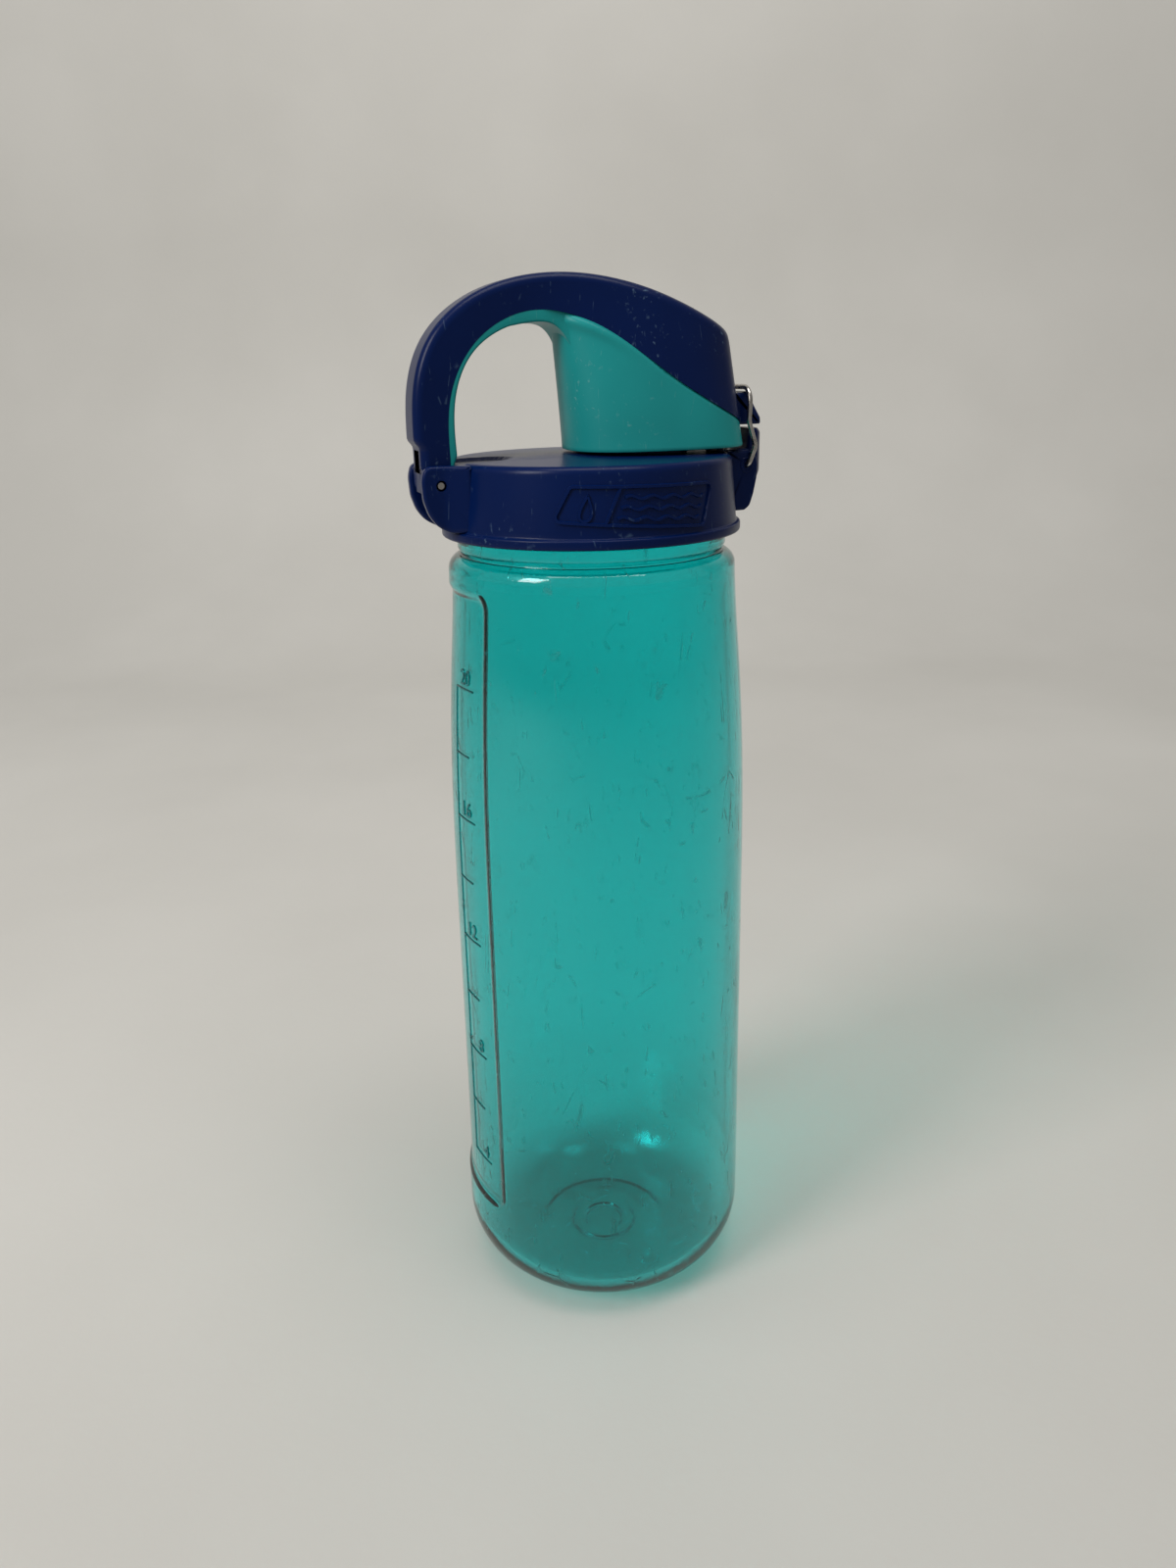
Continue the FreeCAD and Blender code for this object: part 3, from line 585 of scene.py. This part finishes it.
def make_cap():
    """The screw cap: the crown is ruled from the spout's hole to a circle, then comes the skirt's line
    round to the bore and the plate's underside, ruled back to the hole. The notch for the hook is a
    second line for the columns at +X, and the loop's channel is a shallow oblong dent in the crown."""
    columns = np.concatenate([stepped(0, (NOTCH_TURN, 10), (NOTCH_TURN + 0.003, 1), (math.pi - 0.35, 84)),
                              stepped(math.pi - 0.33, (math.pi, 26))])
    columns = np.concatenate([columns, math.tau - columns[::-1][1:]])
    notched = (np.minimum(columns, math.tau - columns) <= NOTCH_TURN + 1e-6)[None, :, None]
    circle = np.stack([np.cos(columns), np.sin(columns)], -1)
    hole = circle * SPOUT_HOLE + [SPOUT_X, 0]

    def crown_z(flat):
        """The crown's height, less the channel."""
        deep = np.hypot(np.maximum(flat[..., 0] + 25.5, 0), flat[..., 1]) - 6.9
        fall = CROWN_FALL * np.hypot(flat[..., 0], flat[..., 1]) / CROWN_R
        return CROWN_Z - fall - 0.65 * (1 - ramp(deep / 0.6 + 1))

    share = np.concatenate([[0.0, 0.01, 0.03], np.linspace(0.05, 1, 34)])[:, None, None]
    flat = hole + (circle * 28.4 - hole) * share
    crown = np.concatenate([flat, crown_z(flat)[..., None]], -1)
    crown[0, :, 2] -= 0.35
    crown[1, :, 2] -= 0.1
    plain = split(cornered([(28.8, 211.48), (CROWN_R, 211.4), (skirt_r(SKIRT_TOP), SKIRT_TOP)], 1.6, 8), 0.5)
    notch = [(NOTCH_BACK, 211.48), (NOTCH_BACK, NOTCH_FLOOR), (skirt_r(SKIRT_TOP), SKIRT_TOP)]
    notch = split(np.array(notch), 0.1)
    notch = notch[np.round(np.linspace(0, len(notch) - 1, len(plain))).astype(int)]
    line = np.where(notched, notch[:, None], plain[:, None])
    rim = np.concatenate([line[..., :1] * circle, line[..., 1:]], -1)
    dent = crown_z(rim[..., :2]) - CROWN_Z + CROWN_FALL * np.hypot(rim[..., 0], rim[..., 1]) / CROWN_R
    rim[..., 2] += dent * ramp((rim[..., 2] - 210.9) / 0.5)
    lower = cornered([(skirt_r(SKIRT_TOP), SKIRT_TOP), (33.1, 197.1), (34.0, 197.0), (34.0, 194.9),
                      (31.1, 194.9), (CAP_BORE_R, 195.9), (CAP_BORE_R, 197)],
                     [0, 0.5, 0.45, 0.6, 0.3, 0.2, 0], 5)
    lower = split(lower, 0.8)[1:]
    bore = np.stack([np.full(54, CAP_BORE_R), np.linspace(197, PLATE_Z, 54)], -1)[1:]
    wall = around(np.concatenate([lower, bore]), columns)
    deep = thread_height(columns, wall[..., 2], CAP_THREAD_LOW) * THREAD_TALL
    is_bore = (np.arange(len(wall)) >= len(lower))[:, None]
    wall[..., :2] *= (1 - np.where(is_bore, deep / CAP_BORE_R, 0))[..., None]
    under = hole + (circle * CAP_BORE_R - hole) * np.linspace(1, 0, 8)[1:, None, None]
    under = np.concatenate([under, np.full(under.shape[:2] + (1,), PLATE_Z)], -1)
    body = np.concatenate([crown, rim, wall, under, crown[:1]])

    grids = [body]
    ear = loop([(-30, 197.1), (-34.4, 197.1), (-37.1, 198.5), (-38.9, 201.0), (-39.9, 204.0), (-40.15, 208.2),
                (-39.5, 210.4), (-38.2, 211.1), (-30, 211.1)], [0.1, 3, 6, 6, 6, 6, 1.5, 1.2, 0.1])
    cheek = loop([(31.0, 197.9), (35.6, 198.0), (36.9, 199.0), (37.8, 201.8), (38.5, 205.2), (38.7, 208.2),
                  (38.1, 210.3), (36.4, 211.3), (31.0, 211.3)], [0.1, 1, 2, 6, 6, 4, 2, 1, 0.1])
    for sign in (-1, 1):
        def flare(grid, share):
            """The ear's outer side runs out to meet the skirt."""
            outer = (1 + sign * share) / 2
            reach = grid[..., 0] - HINGE_X - 0.8
            grid[..., 1] += sign * outer * 0.27 * (np.sqrt(reach**2 + 0.8) + reach)
            return grid

        made, _ = plate(ear, *sorted((sign * 5.65, sign * 8.3)), 0.6, (HINGE_X, HINGE_Z, 1.15), flare)
        grids += made
        made, _ = plate(cheek, *sorted((sign * 5.6, sign * 7.0)), 0.45, (BAIL_X, BAIL_Z, 0.66))
        grids += made
        turn = full_turn(32)
        tore = full_turn(8)[:, None]
        ring = 1.45 + 0.28 * np.cos(tore)
        grids.append(np.stack([BAIL_X + ring * np.cos(turn), sign * (7.0 + 0.16 * np.sin(tore)) + 0 * turn,
                               BAIL_Z + ring * np.sin(turn)], -1))
    piece("cap", grids, "cap", NAVY, ["cap_shell"])


def make_relief():
    """A plain raised badge on the skirt: a leaning frame, a water drop in its left cell and three ribs
    in its right cell."""
    def at(degrees, z):
        return math.radians(degrees) * SKIRT_ARC_R, z

    corners = [at(57.3, 200.7), at(63.9, 207.6), at(122.9, 206.9), at(116.6, 198.4)]
    frame_line = loop(corners, 1.1, 0.6)
    frame_line = np.concatenate([frame_line, frame_line[:1]])
    lines = [ridge(frame_line, 0.95, 0.5, on_skirt),
             ridge([at(81.9, 207.2), at(75.9, 199.6)], 0.9, 0.45, on_skirt)]
    turn = np.linspace(0, math.tau, 48)
    across, up = at(69.5, 203.3)
    drop = np.stack([across + 1.75 * np.sin(turn) * np.sin(turn / 2) ** 1.5 + 0.35 * np.cos(turn),
                     up + 2.6 * np.cos(turn)], -1)
    lines.append(ridge(drop, 0.75, 0.42, on_skirt))
    for level in range(3):
        t = np.linspace(0, 1, 40)[:, None]
        start = np.array(at(83.5 - level * 1.5, 205.3 - level * 2.1))
        end = np.array(at(117.3 - level * 1.5, 204.7 - level * 2.1))
        wave = start + (end - start) * t + [0, 0.35] * np.sin(t * 4 * math.tau)
        lines.append(ridge(wave, 0.85, 0.42, on_skirt))
    piece("cap_relief", lines, "cap", NAVY)


def make_turned(name, corners, radii, body, material, node, centre=0.0):
    """A turned piece from a closed section of (radius, height) corners."""
    line = loop(corners, radii, 1.0)
    grid = around(np.concatenate([line, line[:1]]), full_turn(96), centre)
    piece(name, [grid], body, material, [node])


def make_pin(name, x, z, radius, half, node):
    """A pin across the middle plane, with a small chamfer at both ends."""
    chamfer = 0.15
    line = np.array([(0, -half), (radius - chamfer, -half), (radius, chamfer - half),
                     (radius, half - chamfer), (radius - chamfer, half), (0, half)])
    turn = full_turn(24)
    r, y = line[:, 0][:, None], line[:, 1][:, None]
    grid = np.stack([x + r * np.cos(turn), y + 0 * turn, z + r * np.sin(turn)], -1)
    piece(name, [grid], "cap", STEEL, [node])


make_cap()
make_relief()
make_turned("cap_seal_ring", [(25.4, 208.15), (28.4, 208.15), (28.4, 209.45), (25.4, 209.45)], 0.35,
            "cap_lift", SILICONE, "cap_seal")
make_turned("drinking_spout", [(7.5, 208.25), (11.4, 208.25), (11.4, 209.5), (9.42, 209.5), (9.42, 230.95),
                               (7.5, 230.95)],
            [0.2, 0.3, 0.3, 0.3, 0.8, 0.5], "cap", NAVY, "spout", SPOUT_X)
make_pin("ear_pin", HINGE_X, HINGE_Z, 0.85, 7.9, "hinge_pin")
make_pin("button_pin", LATCH_X, LATCH_Z, 0.75, 6.4, "latch_pin")


def make_springs():
    """The hinge's torsion spring with its two legs, and the button's small compression spring."""
    turn = np.linspace(0, 4 * math.tau, 240)
    coil = np.stack([HINGE_X + 1.55 * np.cos(turn), 1.5 - 3.0 * turn / turn[-1],
                     HINGE_Z + 1.55 * np.sin(turn)], -1)
    leg = np.linspace(0, 1, 8)[:, None]
    low = np.array([-34.45, 1.5, 201.9]) + leg * [0, 0, 5.0]
    high = np.array([-34.45, -1.5, 207.3]) + leg * [0, 0, 4.5]
    piece("hinge_coil", [tube(np.concatenate([low, coil, high]), 0.33, 10)], "cap", STEEL,
          ["hinge_spring"])
    turn = np.linspace(0, 4 * math.tau, 160)
    coil = np.stack([32.85 + 3.8 * turn / turn[-1], 1.3 * np.sin(turn), 206.2 - 1.3 * np.cos(turn)], -1)
    piece("latch_coil", [tube(coil, 0.24, 8)], "cap", STEEL, ["latch_spring"])


make_springs()

# ------------------------------------------------------------------ the hood and its carry loop
CROWN = [(-40.5, 216.5), (-39.9, 226.5), (-36.3, 236.3), (-26.8, 244.7), (-14.6, 248.6),
         (-2.8, 248.9), (8.1, 246.8), (20.0, 242.4), (31.6, 236.9)]
LINING = [(-31.5, 212.9), (-31.2, 224.3), (-27.0, 233.4), (-19.0, 238.5), (-8.0, 240.2)]
PARTING = [(-33.1, 212.2), (-32.5, 224.0), (-26.9, 235.0), (-14.0, 241.6), (-0.8, 238.8),
           (13.7, 228.8), (26.3, 221.3), (36.5, 216.6)]
CROWN_LINE, PARTING_LINE, LINING_LINE = smooth(CROWN, 240), smooth(PARTING, 240), smooth(LINING, 120)
HOOD_LOW, STRAP_HALF, SQUARE = 212.6, 5.4, 2.7


def hood_size(z):
    """The middle, half length and half width of the hood's plan at a height."""
    rise = (z - HOOD_LOW) / 33.4
    return 15 - 5 * rise, 20.5 + 0.5 * rise, 16 - 6.5 * rise


def hood_ring(angle, z, inset):
    """The hood's wall at an angle and a height: a rounded oblong, |x/a|^2.7 + |y/b|^2.7 = 1."""
    middle, long, half = hood_size(z)
    c, s = np.cos(angle), np.sin(angle)
    power = 2 / SQUARE
    reach = np.where(c < 0, long - 0.3 - 1.8 * np.clip((z - HOOD_LOW) / 26, 0, 1) ** 0.8, long)
    return (middle + (reach - inset) * np.sign(c) * np.abs(c) ** power,
            (half - inset) * np.sign(s) * np.abs(s) ** power)


def grip_half(x, z):
    """The half width of the navy moulding: the strap's, swelling slowly to the hood's."""
    middle, long, half = hood_size(z)
    hood = half * (1 - np.clip((x - middle) / long, 0, 1) ** SQUARE) ** (1 / SQUARE)
    return STRAP_HALF + (hood - STRAP_HALF) * ramp((x + 16) / 30)


def crown_height(x):
    """The top line's height, carried on past its front end."""
    line = np.concatenate([CROWN_LINE[CROWN_LINE[:, 0] > -30], [(40, 231.0)]])
    return np.interp(x, line[:, 0], line[:, 1])


def parting_height(x):
    """The height of the line where the teal and the navy meet, on the hood."""
    line = PARTING_LINE[PARTING_LINE[:, 0] > -16]
    return np.interp(x, line[:, 0], line[:, 1])


def make_hood():
    """The teal hood: the inner wall, the rim and the outer wall, each a ring at every height, closed at
    the top by the crown line lowered by a depth. Above the parting the outer wall goes in under the
    navy skin, and below it a soft bead runs forward from the loop."""
    angles = full_turn(288)

    def wall(inset, depth, low, rows, is_outer):
        """Ring after ring from a low height to the lowered crown, and the top's rows to the middle."""
        top = np.full(len(angles), 240.0)
        for _ in range(12):
            top = crown_height(hood_ring(angles, top, inset)[0]) - depth
        z = low + (top - low) * np.linspace(0, 1, rows)[:, None]
        above = z - parting_height(hood_ring(angles, z, inset)[0])
        if is_outer:
            x, _ = hood_ring(angles, z, inset)
            bead = 0.5 * np.exp(-(((above + 1.5) / 1.2) ** 2)) * ramp((9 - x) / 14)
            inset = inset + 1.2 * ramp((above - 0.2) / 0.8) - bead
        x, y = hood_ring(angles, z, inset)
        if is_outer:
            under = np.minimum(np.abs(y), np.maximum(grip_half(x, z) - 0.9, 0))
            y = np.sign(y) * (np.abs(y) + (under - np.abs(y)) * ramp((above + 0.7) / 1.3))
        side = np.stack([x, y, z], -1)
        narrowing = np.ones((8, 1, 3))
        narrowing[:, 0, 1] = np.linspace(0.9, 0, 8)
        return np.concatenate([side, side[-1:] * narrowing])

    inner = wall(2.2, 4.0, HOOD_LOW + 0.6, 50, False)
    outer = wall(0.1, 1.5, HOOD_LOW + 0.5, 90, True)
    rim = [(2.2, 0.6), (2.1, 0.2), (1.8, 0.02), (0.6, 0.02), (0.25, 0.15)]
    rim = np.array([np.stack([*hood_ring(angles, HOOD_LOW + up, inset), 0 * angles + HOOD_LOW + up], -1)
                    for inset, up in rim])
    grids = [np.concatenate([inner[::-1], rim[1:], outer])]
    socket = np.array([(0, 233.4), (7.7, 233.4), (8.0, 233.7), (8.0, 241.5), (0, 241.5)])
    grids.append(around(socket, full_turn(64), SPOUT_X))
    ledge = loop([(31.9, 212.85), (34.3, 212.85), (34.3, 214.2), (32.3, 214.2)], 0.15)
    ledge, lids = plate(ledge, -3.2, 3.2, 0.2)
    grids += ledge

    outer_line = np.concatenate([[(-33.3, 208.3), (-33.5, 211.0)], PARTING_LINE[PARTING_LINE[:, 0] < -4.5]])
    keep = (outer_line[:, 1] > 213) | (np.arange(len(outer_line)) < 2)
    outer_line = outer_line[keep]
    turn_down = smooth([(-19.0, 238.5), (-13.4, 239.3), (-9.4, 238.8), (-7.0, 236.6), (-5.2, 232.4)], 40)
    rising = LINING_LINE[LINING_LINE[:, 0] < -19.2]
    inner_line = np.concatenate([[(-32.55, 208.6), (-32.4, 210.6)], rising, turn_down])
    share = np.linspace(0, 3, 110)
    low = stations(inner_line, share, [(-32.55, 208.6), (-31.2, 224.3), (-19.0, 238.5), (-5.2, 232.4)])
    high = stations(outer_line, share, [(-33.3, 208.3), (-32.5, 224.0), (-18.0, 240.6), (-4.6, 240.4)])
    quarter = np.linspace(0, math.pi / 2, 5)
    recipe = [(0, 0, 0.5, k) for k in (0, 0.4, 0.8)]
    recipe += [(0, 0.5 * (1 - math.cos(q)), 0.5 * (1 - math.sin(q)), 1) for q in quarter]
    recipe += [(1, 0.35, 0.05, 1), (1, 0.35, 0.4, 0.8), (1, 0.35, 0.4, 0)]
    band = arch(low, high, lambda x, z: grip_half(x, z) - 0.9 * ramp((x + 12) / 6), recipe)
    grids.append(band)
    lids += [band[:-1, 0], band[:-1, -1]]
    piece("hood_shell", grids, "hood", TEAL, ["cover_shell"], lids)


def make_grip():
    """The navy moulding: an arch from the parting line up to the crown, hollow below, from the loop's
    heel over the hood and down its front; the loop's foot round the pin; and the tab."""
    front = [(32.55, 236.25), (34.85, 217.6)]
    heel = [(-39.3, 209.3), (-39.3, 212), (-39.3, 214.4), (-39.5, 214.9), (-40.1, 215.5), (-40.4, 216.0)]
    upper = np.concatenate([heel, cornered([*CROWN_LINE, *front], [0.0] * 240 + [2.2, 0], 8)])
    lower = PARTING_LINE[(PARTING_LINE[:, 1] > 214.6) & (PARTING_LINE[:, 0] < 34.3)]
    lower = np.concatenate([[(-33.15, 209.3), (-33.1, 212)], lower, [(34.85, 217.45)]])
    keys_high = [(-39.3, 209.3), (-39.9, 226.5), (-26.8, 244.7), (-2.8, 248.9), (20, 242.4), (31.6, 236.9),
                 (33.9, 224.0), (34.85, 217.6)]
    keys_low = [(-33.15, 209.3), (-32.5, 224.0), (-23.5, 238.0), (-3.5, 240.3), (15.5, 227.6), (24.5, 222.4),
                (31.5, 218.9), (34.85, 217.45)]
    share = np.concatenate([np.linspace(0, 5, 130), np.linspace(5, 7, 44)[1:]])
    high, low = stations(upper, share, keys_high), stations(lower, share, keys_low)
    quarter = np.linspace(0, math.pi / 2, 7)
    rise = 1 - np.linspace(1, 0.1, 22) ** 1.6
    round_, thick = 1.9, 1.1
    recipe = [(1, 0, round_, k) for k in np.linspace(0, 0.96, 7)]
    recipe += [(1, round_ * (math.cos(q) - 1), round_ * (1 - math.sin(q)), 1) for q in quarter]
    recipe += [(t, -round_ * t, 0, 1) for t in rise[::-1]]
    recipe += [(0, 0, 0.15, 1), (0, 0, thick, 1)]
    recipe += [(t, -(thick + 0.3) * t, thick, 1) for t in rise[1:]]
    recipe += [(1, -thick, thick + 0.8, k) for k in (1, 0.6, 0)]
    skin = arch(low, high, grip_half, recipe)
    grids, lids = [skin], [skin[:-1, 0]]

    arc = math.pi + np.linspace(0.0, 0.93 * math.pi, 26)
    foot = np.stack([HINGE_X + 3.3 * np.cos(arc), HINGE_Z + 3.3 * np.sin(arc)], -1)
    foot = split(np.concatenate([[(-36.2, 210.4), (-39.3, 210.4)], foot, [(-33.1, 209.0), (-33.1, 210.4),
                                                                        (-36.2, 210.4)]]), 1.0)[:-1]
    for sign in (-1, 1):
        made, _ = plate(foot, *sorted((sign * 2.35, sign * STRAP_HALF)), 0.4, (HINGE_X, HINGE_Z, 0.95))
        grids += made
    web = loop([(-39.3, 205.2), (-37.2, 204.6), (-37.6, 207), (-36.9, 209.8), (-36.9, 214.9),
                (-39.3, 214.9)], 0.2)
    web, more = plate(web, -2.5, 2.5, 0.1)
    grids += web
    lids += more

    def crowned(grid, share):
        """The tab is lower and shorter at its sides."""
        grid[..., 0] -= 1.5 * share**2 * ramp((grid[..., 0] - 34) / 6)
        return grid

    tab = loop([(33.0, 217.0), (41.3, 217.0), (41.2, 218.4), (39.6, 221.0), (37.7, 224.0), (36.6, 224.25),
                (35.6, 223.9), (33.0, 223.9)], [0.1, 0.4, 1, 3, 1, 0.4, 0.4, 0.1], 0.7)
    tongue, more = plate(tab, -5.2, 5.2, 0.7, warp=crowned)
    piece("hood_grip", grids + tongue, "hood", NAVY, ["cover_grip"], lids + more)


make_hood()
make_grip()
make_turned("spout_plug", [(0.001, 230.2), (5.4, 230.2), (6.2, 231.15), (9.35, 231.15), (9.35, 233.25),
                           (0.001, 233.25)],
            [0, 0.4, 0.2, 0.35, 0.35, 0], "hood", SILICONE, "spout_seal", SPOUT_X)

# ------------------------------------------------------------------ the latch
def make_button():
    """The push button: a pad whose face falls back to both sides, and its arm with the hook."""
    def crowned(grid, share):
        """The face falls back towards both sides."""
        x = grid[..., 0]
        grid[..., 0] = x - np.maximum(x - 37.0, 0) * 0.55 * share**2
        return grid

    pad = loop([(34.0, 198.3), (36.6, 198.3), (38.2, 201.6), (40.2, 203.4), (41.75, 206.5), (41.75, 215.2),
                (40.9, 216.1), (37.3, 216.1), (36.85, 211.6), (34.0, 211.4), (33.6, 207.4), (34.0, 203)],
               [0.4, 0.8, 2, 3, 3, 1, 0.6, 0.5, 0.3, 0.3, 0.5, 0.5], 0.8)
    grids, _ = plate(pad, -5.3, 5.3, 0.6, (LATCH_X, LATCH_Z, 0.81), crowned)
    arm = loop([(35, 207.9), (35, 211.4), (31.5, 211.4), (31.5, 214.5), (32.5, 214.6), (31.9, 216.2),
                (30.3, 216.2), (29.9, 207.9)], 0.25, 0.8)
    hook, lids = plate(arm, -3.4, 3.4, 0.25)
    piece("push_button", grids + hook, "button", NAVY, ["latch_button"], lids)


def make_bail():
    """The wire bail: two ends in the cheeks, two waved legs and a bar, all of one bent wire."""
    legs = [(BAIL_X, BAIL_Z), (37.5, 212.4), (35.7, 217.8), (36.0, 225.2)]
    near = [(BAIL_X, -5.8, BAIL_Z)] + [(x, -7.8, z) for x, z in legs]
    far = [(x, -y, z) for x, y, z in near[::-1]]
    path = split(cornered(near + far, [0, 1.1, 2.2, 2.6, 3.6, 3.6, 2.6, 2.2, 1.1, 0], 7), 0.8)
    piece("bail_wire", [tube(path, 0.57, 14)], "bail", STEEL, ["wire_bail"])


make_button()
make_bail()

# ------------------------------------------------------------------ stage, light and camera
CAMERA_PLACE = np.array([-89.5, -259.8, 231.0]) * MM
CAMERA_TURN, CAMERA_DIP, CAMERA_ROLL, LENS, SENSOR = 18.61, 19.67, -1.21, 27.045, 36


def make_camera():
    """The camera: turned from +Y towards +X, dipped, and rolled about its own line of sight."""
    turn, dip, roll = (math.radians(a) for a in (CAMERA_TURN, CAMERA_DIP, CAMERA_ROLL))
    ahead = Vector((math.sin(turn) * math.cos(dip), math.cos(turn) * math.cos(dip), -math.sin(dip)))
    right = ahead.cross(Vector((0, 0, 1))).normalized()
    up = right.cross(ahead)
    right, up = (right * math.cos(roll) + up * math.sin(roll), up * math.cos(roll) - right * math.sin(roll))
    data = bpy.data.cameras.new("camera")
    data.lens, data.sensor_width, data.clip_start = LENS, SENSOR, 0.01
    camera = bpy.data.objects.new("camera", data)
    turned = Matrix((right, up, -ahead)).transposed().to_4x4()
    camera.matrix_world = Matrix.Translation(Vector(CAMERA_PLACE)) @ turned
    bpy.context.scene.collection.objects.link(camera)
    bpy.context.scene.camera = camera


def make_floor():
    """A paper sweep: flat, then a wide quarter round up to a back wall, turned to face the camera."""
    reach, rise, bend = 0.62, 1.8, 0.35
    arc = np.linspace(0, math.pi / 2, 24)
    line = [(reach + bend * math.sin(a), bend * (1 - math.cos(a))) for a in arc]
    line = np.array([(-4.0, 0), *line, (reach + bend, rise)])
    wide = np.array([-4.5, 4.5])
    turn = math.radians(CAMERA_TURN)
    depth, side = line[:, 0][:, None], wide[None, :]
    grid = np.stack([depth * math.sin(turn) + side * math.cos(turn),
                     depth * math.cos(turn) - side * math.sin(turn), line[:, 1][:, None] + 0 * side], -1)
    finish = Finish("paper")
    tone = finish.span(finish.noise(5, 4), 0.35, 0.7)
    base = finish.mix(tone, rgb(0.53, 0.52, 0.49), rgb(0.57, 0.56, 0.53))
    finish.put(finish.shader.inputs["Base Color"], base)
    finish.shader.inputs["Roughness"].default_value = 0.9
    finish.put(finish.shader.inputs["Normal"], finish.bump(finish.noise(300, 4), 0.0003, 0.2))
    mesh = bpy.data.meshes.new("floor")
    index = np.arange(grid.shape[0] * 2).reshape(-1, 2)
    quads = np.stack([index[:-1, 0], index[:-1, 1], index[1:, 1], index[1:, 0]], -1)
    mesh.from_pydata(grid.reshape(-1, 3), [], quads.tolist())
    mesh.shade_smooth()
    mesh.materials.append(finish.material)
    floor = bpy.data.objects.new("floor", mesh)
    bpy.context.scene.collection.objects.link(floor)


def make_lamp(name, place, aim, size, power, colour):
    """A soft rectangular lamp at a place, facing a point."""
    data = bpy.data.lights.new(name, "AREA")
    data.shape, data.size, data.size_y = "RECTANGLE", size[0], size[1]
    data.energy, data.color = power, colour
    lamp = bpy.data.objects.new(name, data)
    lamp.location = place
    lamp.rotation_euler = (Vector(aim) - Vector(place)).to_track_quat("-Z", "Y").to_euler()
    bpy.context.scene.collection.objects.link(lamp)


make_camera()
make_floor()
make_lamp("window", (-0.85, -0.3, 0.75), (0, 0, 0.14), (0.32, 0.5), 6.4, (1.0, 0.98, 0.96))
make_lamp("ceiling", (0.0, -0.1, 1.5), (0.3, 1.0, 0.85), (1.0, 1.0), 14.5, (1.0, 0.985, 0.965))
world = bpy.data.worlds.new("room")
world.use_nodes = True
world.node_tree.nodes["Background"].inputs["Color"].default_value = rgb(0.80, 0.79, 0.77)
world.node_tree.nodes["Background"].inputs["Strength"].default_value = 0.39
bpy.context.scene.world = world
bpy.context.scene.view_settings.view_transform = "Standard"
